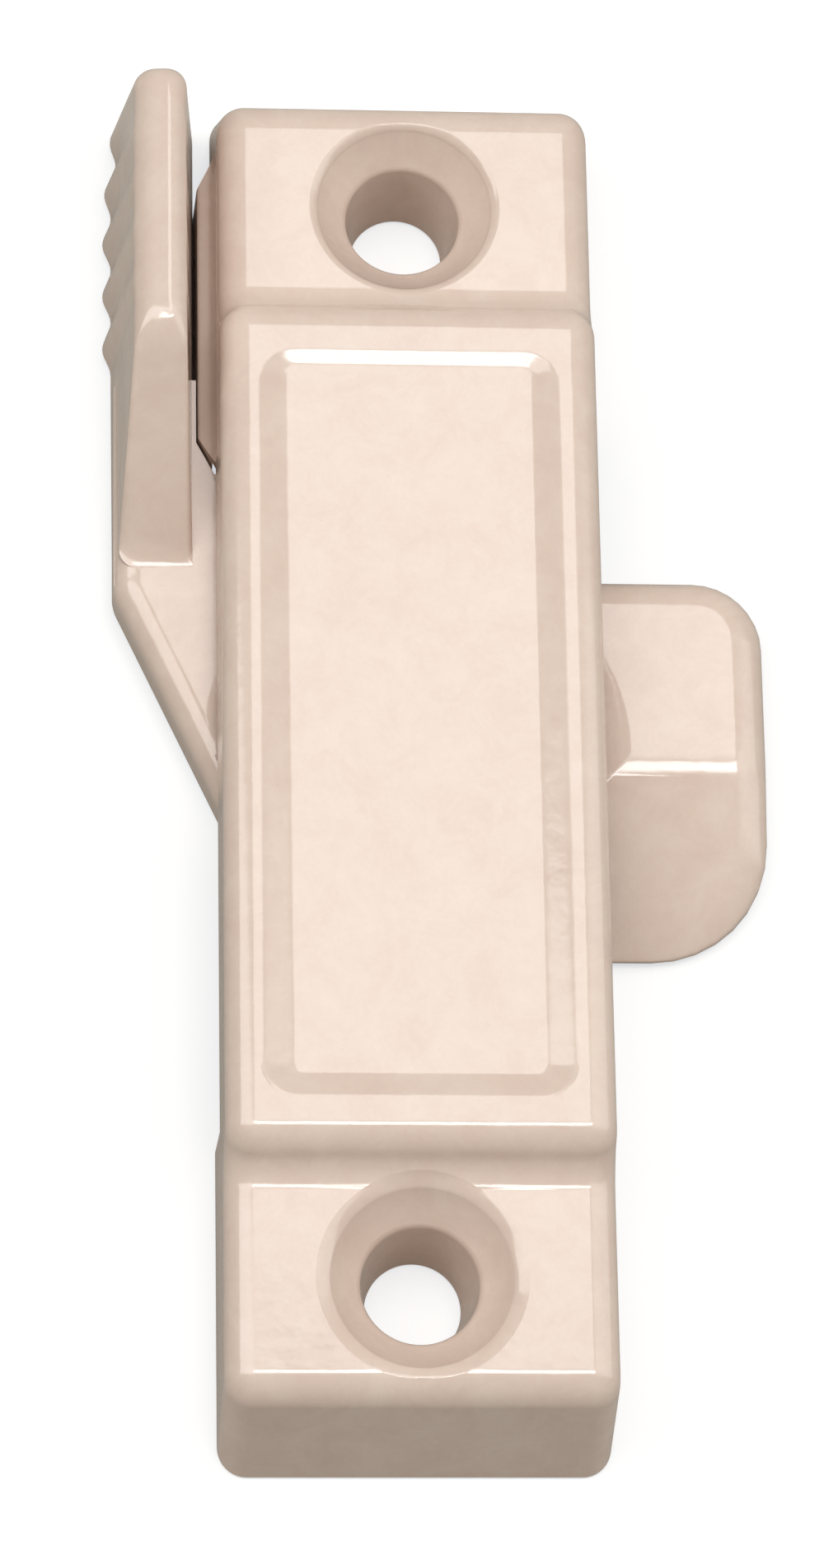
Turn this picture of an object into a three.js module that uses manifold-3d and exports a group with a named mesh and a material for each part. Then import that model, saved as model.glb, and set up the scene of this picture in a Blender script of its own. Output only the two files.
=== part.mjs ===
// Surface-mounted window latch. A hollow die-cast housing carries a finger lever that is cast in one
// piece with its hook. The lever turns on a riveted pivot, drawn here in the locked position.
// Millimetres. X runs across the latch towards the hook, Y along it, and Z out of its front face.
// The back of the housing lies on Z = 0 and the pivot stands on the Z axis.
import * as THREE from 'three';
import { mergeVertices } from 'three/addons/utils/BufferGeometryUtils.js';
import Module from 'manifold-3d';

const wasm = await Module();
wasm.setup();

// Screw holes, which place the rest of the housing
const holeSpacing = 57.15;
const holeToEnd = 8.425; // screw hole to the end of the housing, at the back face
const holeToStep = 5.375; // screw hole to the foot of the raised middle
const holeThroat = 5.9; // diameter at the foot of the countersink
const holeBack = 4.8; // diameter at the back face
const countersinkMouth = 8.9;
const countersinkDepth = 1.9;
const rimDiameter = 10.1; // where the rounded mouth runs out into the front
const rimDrop = 0.35;

// Housing, outside
const bodyWidth = 19.6; // side to side at the back face
const sideDraft = 1.0; // degrees that each long side leans in
const stepDrop = 1.8; // rim of the raised middle down to the front of a screw block
const stepRun = 1.0; // lean of that step
const endFaceRun = 2.5; // how far each end leans in from back to front
const edgeRadius = 1.55; // rounding of every front edge

// Recessed field in the front of the raised middle
const fieldEndMargin = 3.35; // foot of the raised middle to the field
const fieldSideMargin = 1.95; // side of the housing to the field
const fieldDepth = 0.8;
const fieldSideSlope = 1.75; // plan width of the bevel along the long sides
const fieldEndSlope = 1.15; // plan width of the bevel along the short sides
const fieldCorner = 1.8;
const fieldFloorCorner = 0.4;

// Housing, inside
const sideWall = 1.5;
const roofThickness = 2.0; // under the recessed field
const cavityEndWall = 2.8; // foot of the raised middle to the cavity
const cavityCorner = 1.5;
const dividerWall = 2.0; // between the cavity and each screw block's core
const coreRoof = 2.5; // front wall left over each core
const coreEndWall = 2.0; // end wall left at the core's roof
const screwBossDiameter = 8.8;
const coreRib = 1.6;
const springPadDiameter = 4.4;
const springPadHeight = 0.4;
const blindFloor = 1.2; // metal left over each blind rivet hole

// Stop lug on the lever side
const lugOffset = 4.8; // paddle's foot to the lug's lower foot
const lugLength = 17.5;
const lugReach = 0.75;
const lugFlank = 62; // degrees of the slanted flanks from the X axis
const lugHeight = 4.7; // where it leaves the side
const lugFall = 0.3; // drop of its top towards the lever

// Lever and hook
const backClearance = 0.4; // back face to the lever
const plateThickness = 3.1;
const plateEdge = 1.8; // rounding of the plate's front edges
const plateCorner = 2.1; // least plan radius at its corners
const lipClearance = 0.35; // plate to the openings in the sides
const hubSideGap = 1.1; // hub to the cavity's side walls
const hubRise = 1.1; // hub above the plate
const hookProjection = 8.75; // hook past the side of the housing
const hookTopInset = 0.1; // hook's upper edge inside the housing's side line when stowed
const hookProud = 0.6; // hook's lower edge past the other side line when stowed
const hookTopCorner = 2.6;
const hookTipRadius = 6.1;
const hookNeck = 12.0; // width of the arm at the hub
const hookRoot = 5.8; // X where the arm's lower edge turns in to the hub
const rampTop = -0.85; // Y where the flat of the hook gives way to the ramp
const rampDrop = 2.65;
const reliefDepth = 0.75;
const reliefRun = 2.6;
const hookReliefShow = 2.0; // dished relief past the housing's side, at the hook
const wingReliefShow = 0.7; // and at the wing
const wingToe = 1.7; // paddle's foot to the wing's outer lower corner
const wingFoot = -5.0; // Y where the wing's lower edge ends inside the housing
const wingEdge = 65.0; // degrees of that edge from the X axis
const stopGap = 0.3; // wing to the stop lug

// Finger paddle
const lugClearance = 0.3; // stop lug to the paddle's inner face
const paddleBase = 4.15; // thickness at the back
const paddleRim = 2.55; // thickness at the front
const paddleInnerLean = 0.6; // inner face leans away from the housing
const paddleProud = 2.0; // front of the paddle above the raised middle
const paddleFoot = 10.3; // Y where its sloped lower end meets the wing
const paddleLength = 24.4; // from there to the upper end, at the front
const paddleSlope = 37.2; // degrees of the sloped lower end
const paddleFillet = 0.7; // height and run of the flare at the slope's foot
const paddleEndLean = 1.5; // how much longer it is at the back
const paddleRound = 1.05; // of the front
const paddleCorner = 0.8; // plan radius at the upper end
const gripInset = 1.5; // top of the slope to the first finger ridge
const gripRidges = 4.5; // waves between there and the upper end
const gripRise = 0.29; // mean height of the ridges over the plain face, at the back
const gripWave = 0.22; // half height of the outer waves
const gripBack = 0.12; // half height of the inner waves

// Pivot stack
const rivetDiameter = 4.0;
const rivetChamfer = 0.5;
const rivetHead = 6.8;
const rivetHeadHeight = 0.55;
const rivetHeadEdge = 0.28;
const rivetHeadInset = 0.1; // head below the back face
const washerDiameter = 9.0;
const washerThickness = 0.3;
const thrustThickness = 0.4;
const waveThickness = 0.25;
const waveHeight = 0.2; // half height of the wave
const waveCount = 3;
const fit = 0.05; // clearance between flat faces of the stack
const bore = 0.15; // radial clearance round the rivet
const counterboreClearance = 0.4;

// Click spring
const clickBand = 2.7; // ring of the hub that the spring rides on
const clickRadius = 1.1;
const clickClearance = 0.1;
const clickDepth = 0.3; // of each dimple below the spring's tip
const leafLift = 0.7; // spring above the hub
const leafThickness = 0.45;
const leafWidth = 4.2;
const leafTipWidth = 2.9;
const leafTipCorner = 0.8;
const leafTipGap = 0.2; // spring to the pivot boss
const leafTail = 2.0; // spring beyond its rivet
const leafTailCorner = 1.9;
const leafEndGap = 5.2; // spring's rivet to the cavity's end
const springRivetDiameter = 1.8;
const springRivetHead = 3.2;
const springRivetHeadHeight = 0.7;
const springRivetHeadEdge = 0.35;

// Joint range, used to place the two click dimples
const leverTurn = 90;

// Fineness of the round forms
const roundSteps = 4;
const circleSteps = 36;
const ballSteps = 16;
const gripSteps = 6; // points along one finger ridge

// Plan sizes that follow
const bodyLength = holeSpacing + 2 * holeToEnd;
const raisedLength = holeSpacing - 2 * holeToStep;
const fieldLength = raisedLength - 2 * fieldEndMargin;
const fieldWidth = bodyWidth - 2 * fieldSideMargin;
const cavityLength = raisedLength - 2 * cavityEndWall;
const bodySide = bodyWidth / 2;
const cavitySide = bodySide - sideWall;
const hubRadius = cavitySide - hubSideGap;
const pivotBossRadius = hubRadius - clickBand;
const clickTrack = pivotBossRadius + clickBand / 2;
const leafAnchor = leafEndGap - cavityLength / 2;
const hookReach = bodySide + hookProjection;
const hookBottom = bodySide + hookProud;
const lugStart = paddleFoot + lugOffset;
const paddleInner = -bodySide - lugReach - lugClearance;
const paddleOuter = paddleInner - paddleBase;

// Heights that follow, from the back face forwards
const plateTop = backClearance + plateThickness;
const lip = plateTop + lipClearance;
const hubTop = plateTop + hubRise;
const pivotBossFace = hubTop + thrustThickness + 2 * fit;
const clickTip = hubTop + clickClearance;
const leafBottom = hubTop + leafLift;
const leafTop = leafBottom + leafThickness;
const springPadFace = leafTop + fit;
const roof = springPadFace + springPadHeight;
const fieldFloor = roof + roofThickness;
const raisedThickness = fieldFloor + fieldDepth;
const endThickness = raisedThickness - stepDrop;
const blindTop = fieldFloor - blindFloor;
const paddleHeight = raisedThickness + paddleProud;
const paddleRimStart = paddleFoot + (paddleHeight - plateTop) / Math.tan(radians(paddleSlope));
const paddleEnd = paddleFoot + paddleLength;
const gripStart = paddleRimStart + gripInset;
const washerFloor = rivetHeadInset + rivetHeadHeight + fit;
const washerHole = rivetDiameter / 2 + bore;
const waveMiddle = washerFloor + washerThickness + fit + waveHeight + waveThickness / 2;
const stackFloor = waveMiddle + waveHeight + waveThickness / 2 + 2 * fit;

const spill = 1.0; // cutters reach past what they cut by this much
const beyond = 2 * bodyLength; // wider than the whole latch

// Geometry helpers

function radians(degrees) {
  return THREE.MathUtils.degToRad(degrees);
}

// Points of the arc that rounds one corner of an outline. It takes at most about half of each edge.
function roundCorner(before, corner, after, radius, steps = roundSteps) {
  const edgeShare = 0.499;
  const here = new THREE.Vector2(corner[0], corner[1]);
  const back = new THREE.Vector2(before[0], before[1]).sub(here);
  const ahead = new THREE.Vector2(after[0], after[1]).sub(here);
  const shortest = Math.min(back.length(), ahead.length());
  back.normalize();
  ahead.normalize();
  const half = Math.acos(THREE.MathUtils.clamp(back.dot(ahead), -1, 1)) / 2;
  const reach = Math.min(radius / Math.tan(half), edgeShare * shortest);
  const arc = reach * Math.tan(half);
  const start = here.clone().addScaledVector(back, reach);
  const end = here.clone().addScaledVector(ahead, reach);
  const centre = here.clone().addScaledVector(back.add(ahead).normalize(), arc / Math.sin(half));
  const from = start.clone().sub(centre).angle();
  let sweep = end.clone().sub(centre).angle() - from;
  if (sweep > Math.PI) sweep -= 2 * Math.PI;
  if (sweep < -Math.PI) sweep += 2 * Math.PI;
  const points = [];
  for (let i = 0; i <= steps; i++) {
    const angle = from + (sweep * i) / steps;
    const offset = new THREE.Vector2(Math.cos(angle), Math.sin(angle)).multiplyScalar(arc);
    points.push(offset.add(centre));
  }
  return points;
}

// Closed outline from corners [x, y, radius]; a radius of 0 leaves the corner sharp.
function outline(corners, steps = roundSteps) {
  const count = corners.length;
  return corners.flatMap((corner, i) => {
    if (!corner[2]) return [new THREE.Vector2(corner[0], corner[1])];
    const before = corners[(i + count - 1) % count];
    return roundCorner(before, corner, corners[(i + 1) % count], corner[2], steps);
  });
}

// Rectangle centred on the origin with round corners.
function roundedRectangle(width, length, radius) {
  const x = width / 2;
  const y = length / 2;
  return outline([[x, -y, radius], [x, y, radius], [-x, y, radius], [-x, -y, radius]]);
}

// Closed geometry as a solid that can be joined and cut.
function solid(geometry) {
  const plain = geometry.clone();
  plain.deleteAttribute('normal');
  plain.deleteAttribute('uv');
  const merged = mergeVertices(plain, 1e-5);
  const vertProperties = new Float32Array(merged.attributes.position.array);
  const triVerts = new Uint32Array(merged.index.array);
  return new wasm.Manifold(new wasm.Mesh({ numProp: 3, vertProperties, triVerts }));
}

// Solid through rings of equal point count. Rings run counter-clockwise seen from the last ring, and
// flatten gives the two coordinates of a point inside its ring. A loop joins the last ring to the first.
function loft(rings, flatten, loop = false) {
  const size = rings[0].length;
  const positions = rings.flat().flatMap((point) => [point.x, point.y, point.z]);
  const faces = [];
  const spans = loop ? rings.length : rings.length - 1;
  for (let i = 0; i < spans; i++) {
    const here = i * size;
    const next = ((i + 1) % rings.length) * size;
    for (let j = 0; j < size; j++) {
      const k = (j + 1) % size;
      faces.push(here + j, here + k, next + k, here + j, next + k, next + j);
    }
  }
  if (!loop) {
    const last = (rings.length - 1) * size;
    const cap = (ring) => THREE.ShapeUtils.triangulateShape(ring.map(flatten), []);
    cap(rings[0]).forEach(([a, b, c]) => faces.push(a, c, b));
    cap(rings[rings.length - 1]).forEach(([a, b, c]) => faces.push(last + a, last + b, last + c));
  }
  const geometry = new THREE.BufferGeometry();
  geometry.setAttribute('position', new THREE.Float32BufferAttribute(positions, 3));
  geometry.setIndex(faces);
  return solid(geometry);
}

// Loft of plan outlines, each given with its height.
function loftUp(levels) {
  const rings = levels.map(([points, z]) => points.map((p) => new THREE.Vector3(p.x, p.y, z)));
  return loft(rings, (p) => new THREE.Vector2(p.x, p.y));
}

// Plan outline raised from one height to another.
function prism(points, bottom, top) {
  const settings = { depth: top - bottom, bevelEnabled: false };
  const geometry = new THREE.ExtrudeGeometry(new THREE.Shape(points), settings);
  return solid(geometry.translate(0, 0, bottom));
}

// The same with rounded front edges. The rounding at its back is cut away flat.
function roundedPlate(points, bottom, top, radius) {
  const geometry = new THREE.ExtrudeGeometry(new THREE.Shape(points), {
    depth: top - bottom,
    bevelThickness: radius,
    bevelSize: radius,
    bevelOffset: -radius,
    bevelSegments: roundSteps,
  });
  const whole = solid(geometry.translate(0, 0, bottom - radius));
  return whole.subtract(block([0, 0, bottom - radius], [beyond, beyond, 2 * radius]));
}

// Box by its centre and size.
function block(centre, size) {
  return solid(new THREE.BoxGeometry(...size).translate(...centre));
}

// Upright round bar.
function bar(x, y, radius, bottom, top) {
  const geometry = new THREE.CylinderGeometry(radius, radius, top - bottom, circleSteps);
  geometry.rotateX(Math.PI / 2).translate(x, y, (top + bottom) / 2);
  return solid(geometry);
}

function ball(x, y, z, radius) {
  return solid(new THREE.SphereGeometry(radius, ballSteps, ballSteps).translate(x, y, z));
}

// Solid of revolution about an upright axis from [radius, z] points.
function revolve(profile, x = 0, y = 0) {
  const points = profile.map(([radius, z]) => new THREE.Vector2(radius, z));
  const geometry = new THREE.LatheGeometry(points, circleSteps);
  return solid(geometry.rotateX(Math.PI / 2).translate(x, y, 0));
}

// Flat ring round the pivot.
function ring(outer, inner, bottom, top) {
  return bar(0, 0, outer, bottom, top).subtract(bar(0, 0, inner, bottom - spill, top + spill));
}

// Named mesh with its own material.
function piece(name, shape, material) {
  const { vertProperties, triVerts } = shape.getMesh();
  const geometry = new THREE.BufferGeometry();
  geometry.setAttribute('position', new THREE.BufferAttribute(vertProperties, 3));
  geometry.setIndex(new THREE.BufferAttribute(triVerts, 1));
  const mesh = new THREE.Mesh(geometry, material);
  mesh.name = name;
  return mesh;
}

// Housing

// Half width of the body at a height.
function halfWidth(z) {
  return bodySide - z * Math.tan(radians(sideDraft));
}

// Height of the front along Y, with its edges rounded, from one end to the other.
function frontProfile() {
  const end = bodyLength / 2;
  const foot = raisedLength / 2;
  const half = [
    [-end - (endFaceRun * spill) / endThickness, -spill],
    [-end + endFaceRun, endThickness],
    [-foot, endThickness],
    [-foot + stepRun, raisedThickness],
  ];
  const corners = [...half, ...half.map(([y, z]) => [-y, z]).reverse()];
  return corners.flatMap((corner, i) => {
    const before = corners[i - 1];
    const after = corners[i + 1];
    if (!before || !after) return [new THREE.Vector2(...corner)];
    return roundCorner(before, corner, after, edgeRadius);
  });
}

// Section across the body where the front is at a height; the edge arc gets taller on steep stretches.
function bodySection(y, height, steepness) {
  const bottom = -3 * spill;
  const rise = Math.min(edgeRadius * Math.max(1, steepness), height + 2 * spill);
  const right = [];
  for (let i = 0; i <= roundSteps; i++) {
    const angle = (Math.PI / 2) * (i / roundSteps);
    const z = height - rise * (1 - Math.cos(angle));
    right.push([halfWidth(height - rise) - edgeRadius * (1 - Math.sin(angle)), z]);
  }
  right.push([halfWidth(bottom), bottom]);
  const left = right.map(([x, z]) => [-x, z]).reverse();
  return [...left, ...right].map(([x, z]) => new THREE.Vector3(x, y, z));
}

// Outside of the housing as one loft along Y, cut flat at the back.
function housingBody() {
  const profile = frontProfile();
  const steepest = endThickness / endFaceRun;
  const sections = profile.map((point, i) => {
    const before = profile[Math.max(i - 1, 0)];
    const after = profile[Math.min(i + 1, profile.length - 1)];
    const slope = Math.abs((after.y - before.y) / (after.x - before.x));
    return bodySection(point.x, point.y, Math.min(slope, steepest));
  });
  const body = loft(sections, (p) => new THREE.Vector2(p.z, p.x));
  return body.subtract(block([0, 0, -3 * spill], [beyond, beyond, 6 * spill]));
}

// Bevelled field cut into the front.
function fieldCutter() {
  const overshoot = (fieldDepth + spill) / fieldDepth;
  const floorWidth = fieldWidth - 2 * fieldSideSlope;
  const floorLength = fieldLength - 2 * fieldEndSlope;
  const floor = roundedRectangle(floorWidth, floorLength, fieldFloorCorner);
  const mouth = roundedRectangle(fieldWidth, fieldLength, fieldCorner);
  const above = mouth.map((point, i) => floor[i].clone().lerp(point, overshoot));
  return loftUp([[floor, fieldFloor], [above, raisedThickness + spill]]);
}

// Screw hole with its countersink and rounded mouth.
function screwCutter(y) {
  const throat = endThickness - countersinkDepth;
  const shrink = ((holeThroat - holeBack) / 2 / throat) * spill;
  return revolve([
    [0, -spill],
    [holeBack / 2 - shrink, -spill],
    [holeThroat / 2, throat],
    [countersinkMouth / 2, endThickness - rimDrop],
    [rimDiameter / 2, endThickness],
    [rimDiameter / 2 + spill, endThickness + spill],
    [0, endThickness + spill],
  ], 0, y);
}

// Hollow core of the upper screw block, open at the back, round its screw boss and ribs.
function coreCutter() {
  const top = endThickness - coreRoof;
  const inner = cavityLength / 2 + dividerWall;
  const outer = bodyLength / 2 - (endFaceRun * top) / endThickness - coreEndWall;
  const hole = holeSpacing / 2;
  const plan = roundedRectangle(2 * cavitySide, outer - inner, cavityCorner);
  const core = prism(plan, -spill, top).translate([0, (inner + outer) / 2, 0]);
  const boss = bar(0, hole, screwBossDiameter / 2, -2 * spill, top + spill);
  const rib = block([0, hole, top / 2], [bodyWidth, coreRib, top + 4 * spill]);
  return core.subtract(boss).subtract(rib);
}

// Slanted lug that the lever's wing closes against.
function stopLug() {
  const inside = bodySide - sideWall / 2;
  const tip = bodySide + lugReach;
  const run = lugReach * Math.tan(radians(lugFlank));
  const lugEnd = lugStart + lugLength;
  const plan = outline([
    [-inside, lugStart, 0],
    [-bodySide, lugStart, 0],
    [-tip, lugStart + run, 0],
    [-tip, lugEnd - run, 0],
    [-bodySide, lugEnd, 0],
    [-inside, lugEnd, 0],
  ]);
  const lug = prism(plan, 0, lugHeight);
  const lean = Math.atan2(lugFall, lugReach);
  const cutter = new THREE.BoxGeometry(2 * lugHeight, beyond, 2 * lugHeight);
  cutter.translate(-lugHeight, 0, lugHeight).rotateY(-lean).translate(-bodySide, 0, lugHeight);
  return lug.subtract(solid(cutter));
}

// Openings in both sides that the wing and the hook sweep through.
function sideOpenings() {
  const high = hookReach + lipClearance;
  const depth = sideWall + 2 * fit;
  const opening = (side, low) => {
    const centre = [side * (cavitySide + depth / 2), (low + high) / 2, (lip - spill) / 2];
    return block(centre, [depth, high - low, lip + spill]);
  };
  return opening(-1, -cavityLength / 2).add(opening(1, -hookBottom - stopGap));
}

function housing() {
  const cavity = prism(roundedRectangle(2 * cavitySide, cavityLength, cavityCorner), -spill, roof);
  const core = coreCutter();
  return housingBody()
    .subtract(cavity)
    .add(bar(0, 0, pivotBossRadius, pivotBossFace, roof + fit))
    .add(bar(0, leafAnchor, springPadDiameter / 2, springPadFace, roof + fit))
    .add(stopLug())
    .subtract(sideOpenings())
    .subtract(fieldCutter())
    .subtract(screwCutter(holeSpacing / 2))
    .subtract(screwCutter(-holeSpacing / 2))
    .subtract(core)
    .subtract(core.rotate([0, 0, 180]))
    .subtract(bar(0, 0, rivetDiameter / 2 + fit, -spill, blindTop))
    .subtract(bar(0, leafAnchor, springRivetDiameter / 2 + fit, -spill, blindTop));
}

// Lever with its wing, hook and finger paddle

// Hook with its arm, thinned towards the lower edge by a ramp.
function hookArm() {
  const top = bodySide - hookTopInset;
  const neck = hookNeck / 2;
  const plan = outline([
    [0, -neck, 0],
    [hookRoot, -hookBottom, plateCorner],
    [hookReach, -hookBottom, hookTipRadius],
    [hookReach, top, hookTopCorner],
    [cavitySide, top, plateCorner],
    [0, neck, 0],
  ], 2 * roundSteps);
  const arm = roundedPlate(plan, backClearance, plateTop, plateEdge);
  const slope = Math.atan2(rampDrop, rampTop + hookBottom);
  const cutter = new THREE.BoxGeometry(beyond, beyond, beyond);
  cutter.translate(hubRadius + fit + beyond / 2, -beyond / 2, beyond / 2);
  cutter.rotateX(slope).translate(0, rampTop, plateTop);
  return arm.subtract(solid(cutter));
}

// Wing between the hub and the paddle. Its upper edge runs along the stop lug's flank.
function wing() {
  const flank = Math.tan(radians(lugFlank));
  const upper = lugStart - stopGap / Math.cos(radians(lugFlank));
  const lower = paddleFoot - wingToe;
  const foot = paddleOuter + (lower - wingFoot) / Math.tan(radians(wingEdge));
  const neck = hookNeck / 2;
  const plan = outline([
    [0, neck, 0],
    [-cavitySide, upper - sideWall, plateCorner],
    [-bodySide, upper, 0],
    [paddleInner, upper - flank * (bodySide + paddleInner), 0],
    [paddleInner, paddleRimStart, 0],
    [paddleOuter, paddleRimStart, 0],
    [paddleOuter, lower, plateCorner],
    [foot, wingFoot, plateCorner],
    [0, -neck, 0],
  ]);
  return roundedPlate(plan, backClearance, plateTop, plateEdge);
}

// Dished relief round the hub, on one side of the lever.
function relief(radius, side) {
  const inner = hubRadius + fit;
  const floor = plateTop - reliefDepth;
  const dish = revolve([
    [inner, floor],
    [radius - reliefRun, floor],
    [radius, plateTop],
    [radius, plateTop + spill],
    [inner, plateTop + spill],
    [inner, floor],
  ]);
  return dish.intersect(block([(side * beyond) / 2, 0, plateTop], [beyond, beyond, beyond]));
}

// Y of the paddle's lower end at a height. It stands upright beside the wing, flares at the slope's
// foot and then runs up the slope.
function paddleLow(z) {
  const rise = Math.max(z - plateTop, 0);
  const flare = Math.max(1 - rise / paddleFillet, 0);
  return paddleFoot + rise / Math.tan(radians(paddleSlope)) - paddleFillet * flare ** 2;
}

// Paddle section at a height, drawn in by the rounding of its front. The finger ridges wave along Y and
// die away towards the front.
function paddleSection(z, inset) {
  const share = (z - backClearance) / (paddleHeight - backClearance);
  const fade = 1 - share;
  const thickness = THREE.MathUtils.lerp(paddleBase, paddleRim, share);
  const inner = paddleInner - paddleInnerLean * share - inset;
  const outer = paddleInner - paddleInnerLean * share - thickness + inset;
  const low = paddleLow(z) + inset;
  const high = paddleEnd + fade * paddleEndLean - inset;
  const count = Math.round(gripRidges * gripSteps);
  const innerSide = [];
  const outerSide = [];
  for (let i = 0; i <= count; i++) {
    const y = THREE.MathUtils.lerp(gripStart, high - paddleCorner, i / count);
    const wave = -Math.cos((2 * Math.PI * i) / gripSteps);
    innerSide.push([inner + fade * gripBack * wave, y]);
    outerSide.push([outer - fade * (gripRise + gripWave * wave), y]);
  }
  const innerCorner = [innerSide[count][0], high];
  const outerCorner = [outerSide[count][0], high];
  const top = [
    ...roundCorner(innerSide[count], innerCorner, outerCorner, paddleCorner),
    ...roundCorner(innerCorner, outerCorner, outerSide[count], paddleCorner),
  ];
  const sides = [[inner, low], ...innerSide].map(([x, y]) => new THREE.Vector2(x, y));
  const back = [...outerSide.reverse(), [outer, low]].map(([x, y]) => new THREE.Vector2(x, y));
  return [...sides, ...top, ...back];
}

function paddle() {
  const heights = [backClearance];
  for (let i = 0; i <= roundSteps; i++) heights.push(plateTop + (paddleFillet * i) / roundSteps);
  const levels = heights.map((z) => [paddleSection(z, 0), z]);
  for (let i = 0; i <= roundSteps; i++) {
    const angle = (Math.PI / 2) * (i / roundSteps);
    const z = paddleHeight - paddleRound * (1 - Math.sin(angle));
    levels.push([paddleSection(z, paddleRound * (1 - Math.cos(angle))), z]);
  }
  return loftUp(levels);
}

// Dimple in the hub that the click spring drops into with the lever turned by an angle.
function clickDimple(turn) {
  const angle = radians(-90 - turn);
  const x = clickTrack * Math.cos(angle);
  const y = clickTrack * Math.sin(angle);
  return ball(x, y, clickTip - clickDepth + clickRadius, clickRadius);
}

function lever() {
  const counterbore = washerDiameter / 2 + counterboreClearance;
  return hookArm()
    .add(wing())
    .subtract(relief(bodySide + hookReliefShow, 1))
    .subtract(relief(bodySide + wingReliefShow, -1))
    .add(bar(0, 0, hubRadius, backClearance, hubTop))
    .add(paddle())
    .subtract(bar(0, 0, counterbore, backClearance - spill, stackFloor))
    .subtract(bar(0, 0, washerHole, -spill, hubTop + spill))
    .subtract(clickDimple(0))
    .subtract(clickDimple(leverTurn));
}

// Pivot stack

// Rivet with its head at the back and its shank in a blind hole of the housing.
function pivotRivet() {
  const radius = rivetDiameter / 2;
  const head = rivetHead / 2;
  const shoulder = rivetHeadInset + rivetHeadHeight;
  const top = blindTop - fit;
  return revolve([
    [0, rivetHeadInset],
    [head - rivetHeadEdge, rivetHeadInset],
    [head, rivetHeadInset + rivetHeadEdge],
    [head, shoulder],
    [radius, shoulder],
    [radius, top - rivetChamfer],
    [radius - rivetChamfer, top],
    [0, top],
  ]);
}

function retainingWasher() {
  return ring(washerDiameter / 2, washerHole, washerFloor, washerFloor + washerThickness);
}

// Spring washer whose flat ring rises and falls round the pivot.
function waveWasher() {
  const half = waveThickness / 2;
  const outer = washerDiameter / 2;
  const rings = [];
  for (let i = 0; i < circleSteps; i++) {
    const angle = (2 * Math.PI * i) / circleSteps;
    const z = waveMiddle + waveHeight * Math.cos(waveCount * angle);
    const section = [[washerHole, z - half], [washerHole, z + half], [outer, z + half], [outer, z - half]];
    rings.push(section.map(([radius, height]) =>
      new THREE.Vector3(radius * Math.cos(angle), radius * Math.sin(angle), height)));
  }
  return loft(rings, null, true);
}

function thrustWasher() {
  return ring(pivotBossRadius, washerHole, hubTop + fit, hubTop + fit + thrustThickness);
}

// Click spring

// Flat spring whose pressed tip rides on the hub and drops into its dimples.
function clickSpring() {
  const half = leafWidth / 2;
  const tipHalf = leafTipWidth / 2;
  const tip = -pivotBossRadius - leafTipGap;
  const tail = leafAnchor - leafTail;
  const plan = outline([
    [tipHalf, tip, leafTipCorner],
    [-tipHalf, tip, leafTipCorner],
    [-half, leafAnchor, 0],
    [-half, tail, leafTailCorner],
    [half, tail, leafTailCorner],
    [half, leafAnchor, 0],
  ]);
  const dome = ball(0, -clickTrack, clickTip + clickRadius, clickRadius);
  const pressed = dome.intersect(block([0, -clickTrack, leafTop / 2], [beyond, beyond, leafTop]));
  return prism(plan, leafBottom, leafTop)
    .add(pressed)
    .subtract(bar(0, leafAnchor, springRivetDiameter / 2 + fit, 0, raisedThickness));
}

function springRivet() {
  const radius = springRivetDiameter / 2;
  const head = springRivetHead / 2;
  const shoulder = leafBottom - fit;
  const bottom = shoulder - springRivetHeadHeight;
  return revolve([
    [0, bottom],
    [head - springRivetHeadEdge, bottom],
    [head, bottom + springRivetHeadEdge],
    [head, shoulder],
    [radius, shoulder],
    [radius, blindTop - fit],
    [0, blindTop - fit],
  ], 0, leafAnchor);
}

// Materials and assembly

const paint = () => new THREE.MeshStandardMaterial({ color: 0xece0d3, roughness: 0.32, metalness: 0.0 });
const steel = () => new THREE.MeshStandardMaterial({ color: 0xb9bbbd, roughness: 0.35, metalness: 1.0 });
const springSteel = () => new THREE.MeshStandardMaterial({ color: 0x8d9094, roughness: 0.3, metalness: 1.0 });
const nylon = () => new THREE.MeshStandardMaterial({ color: 0xf2efe6, roughness: 0.55, metalness: 0.0 });

const latch = new THREE.Group();
latch.add(
  piece('housing', housing(), paint()),
  piece('lever_hook', lever(), paint()),
  piece('pivot_rivet', pivotRivet(), steel()),
  piece('thrust_washer', thrustWasher(), nylon()),
  piece('wave_washer', waveWasher(), springSteel()),
  piece('retaining_washer', retainingWasher(), steel()),
  piece('click_spring', clickSpring(), springSteel()),
  piece('spring_rivet', springRivet(), steel()),
);

export default latch;
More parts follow.
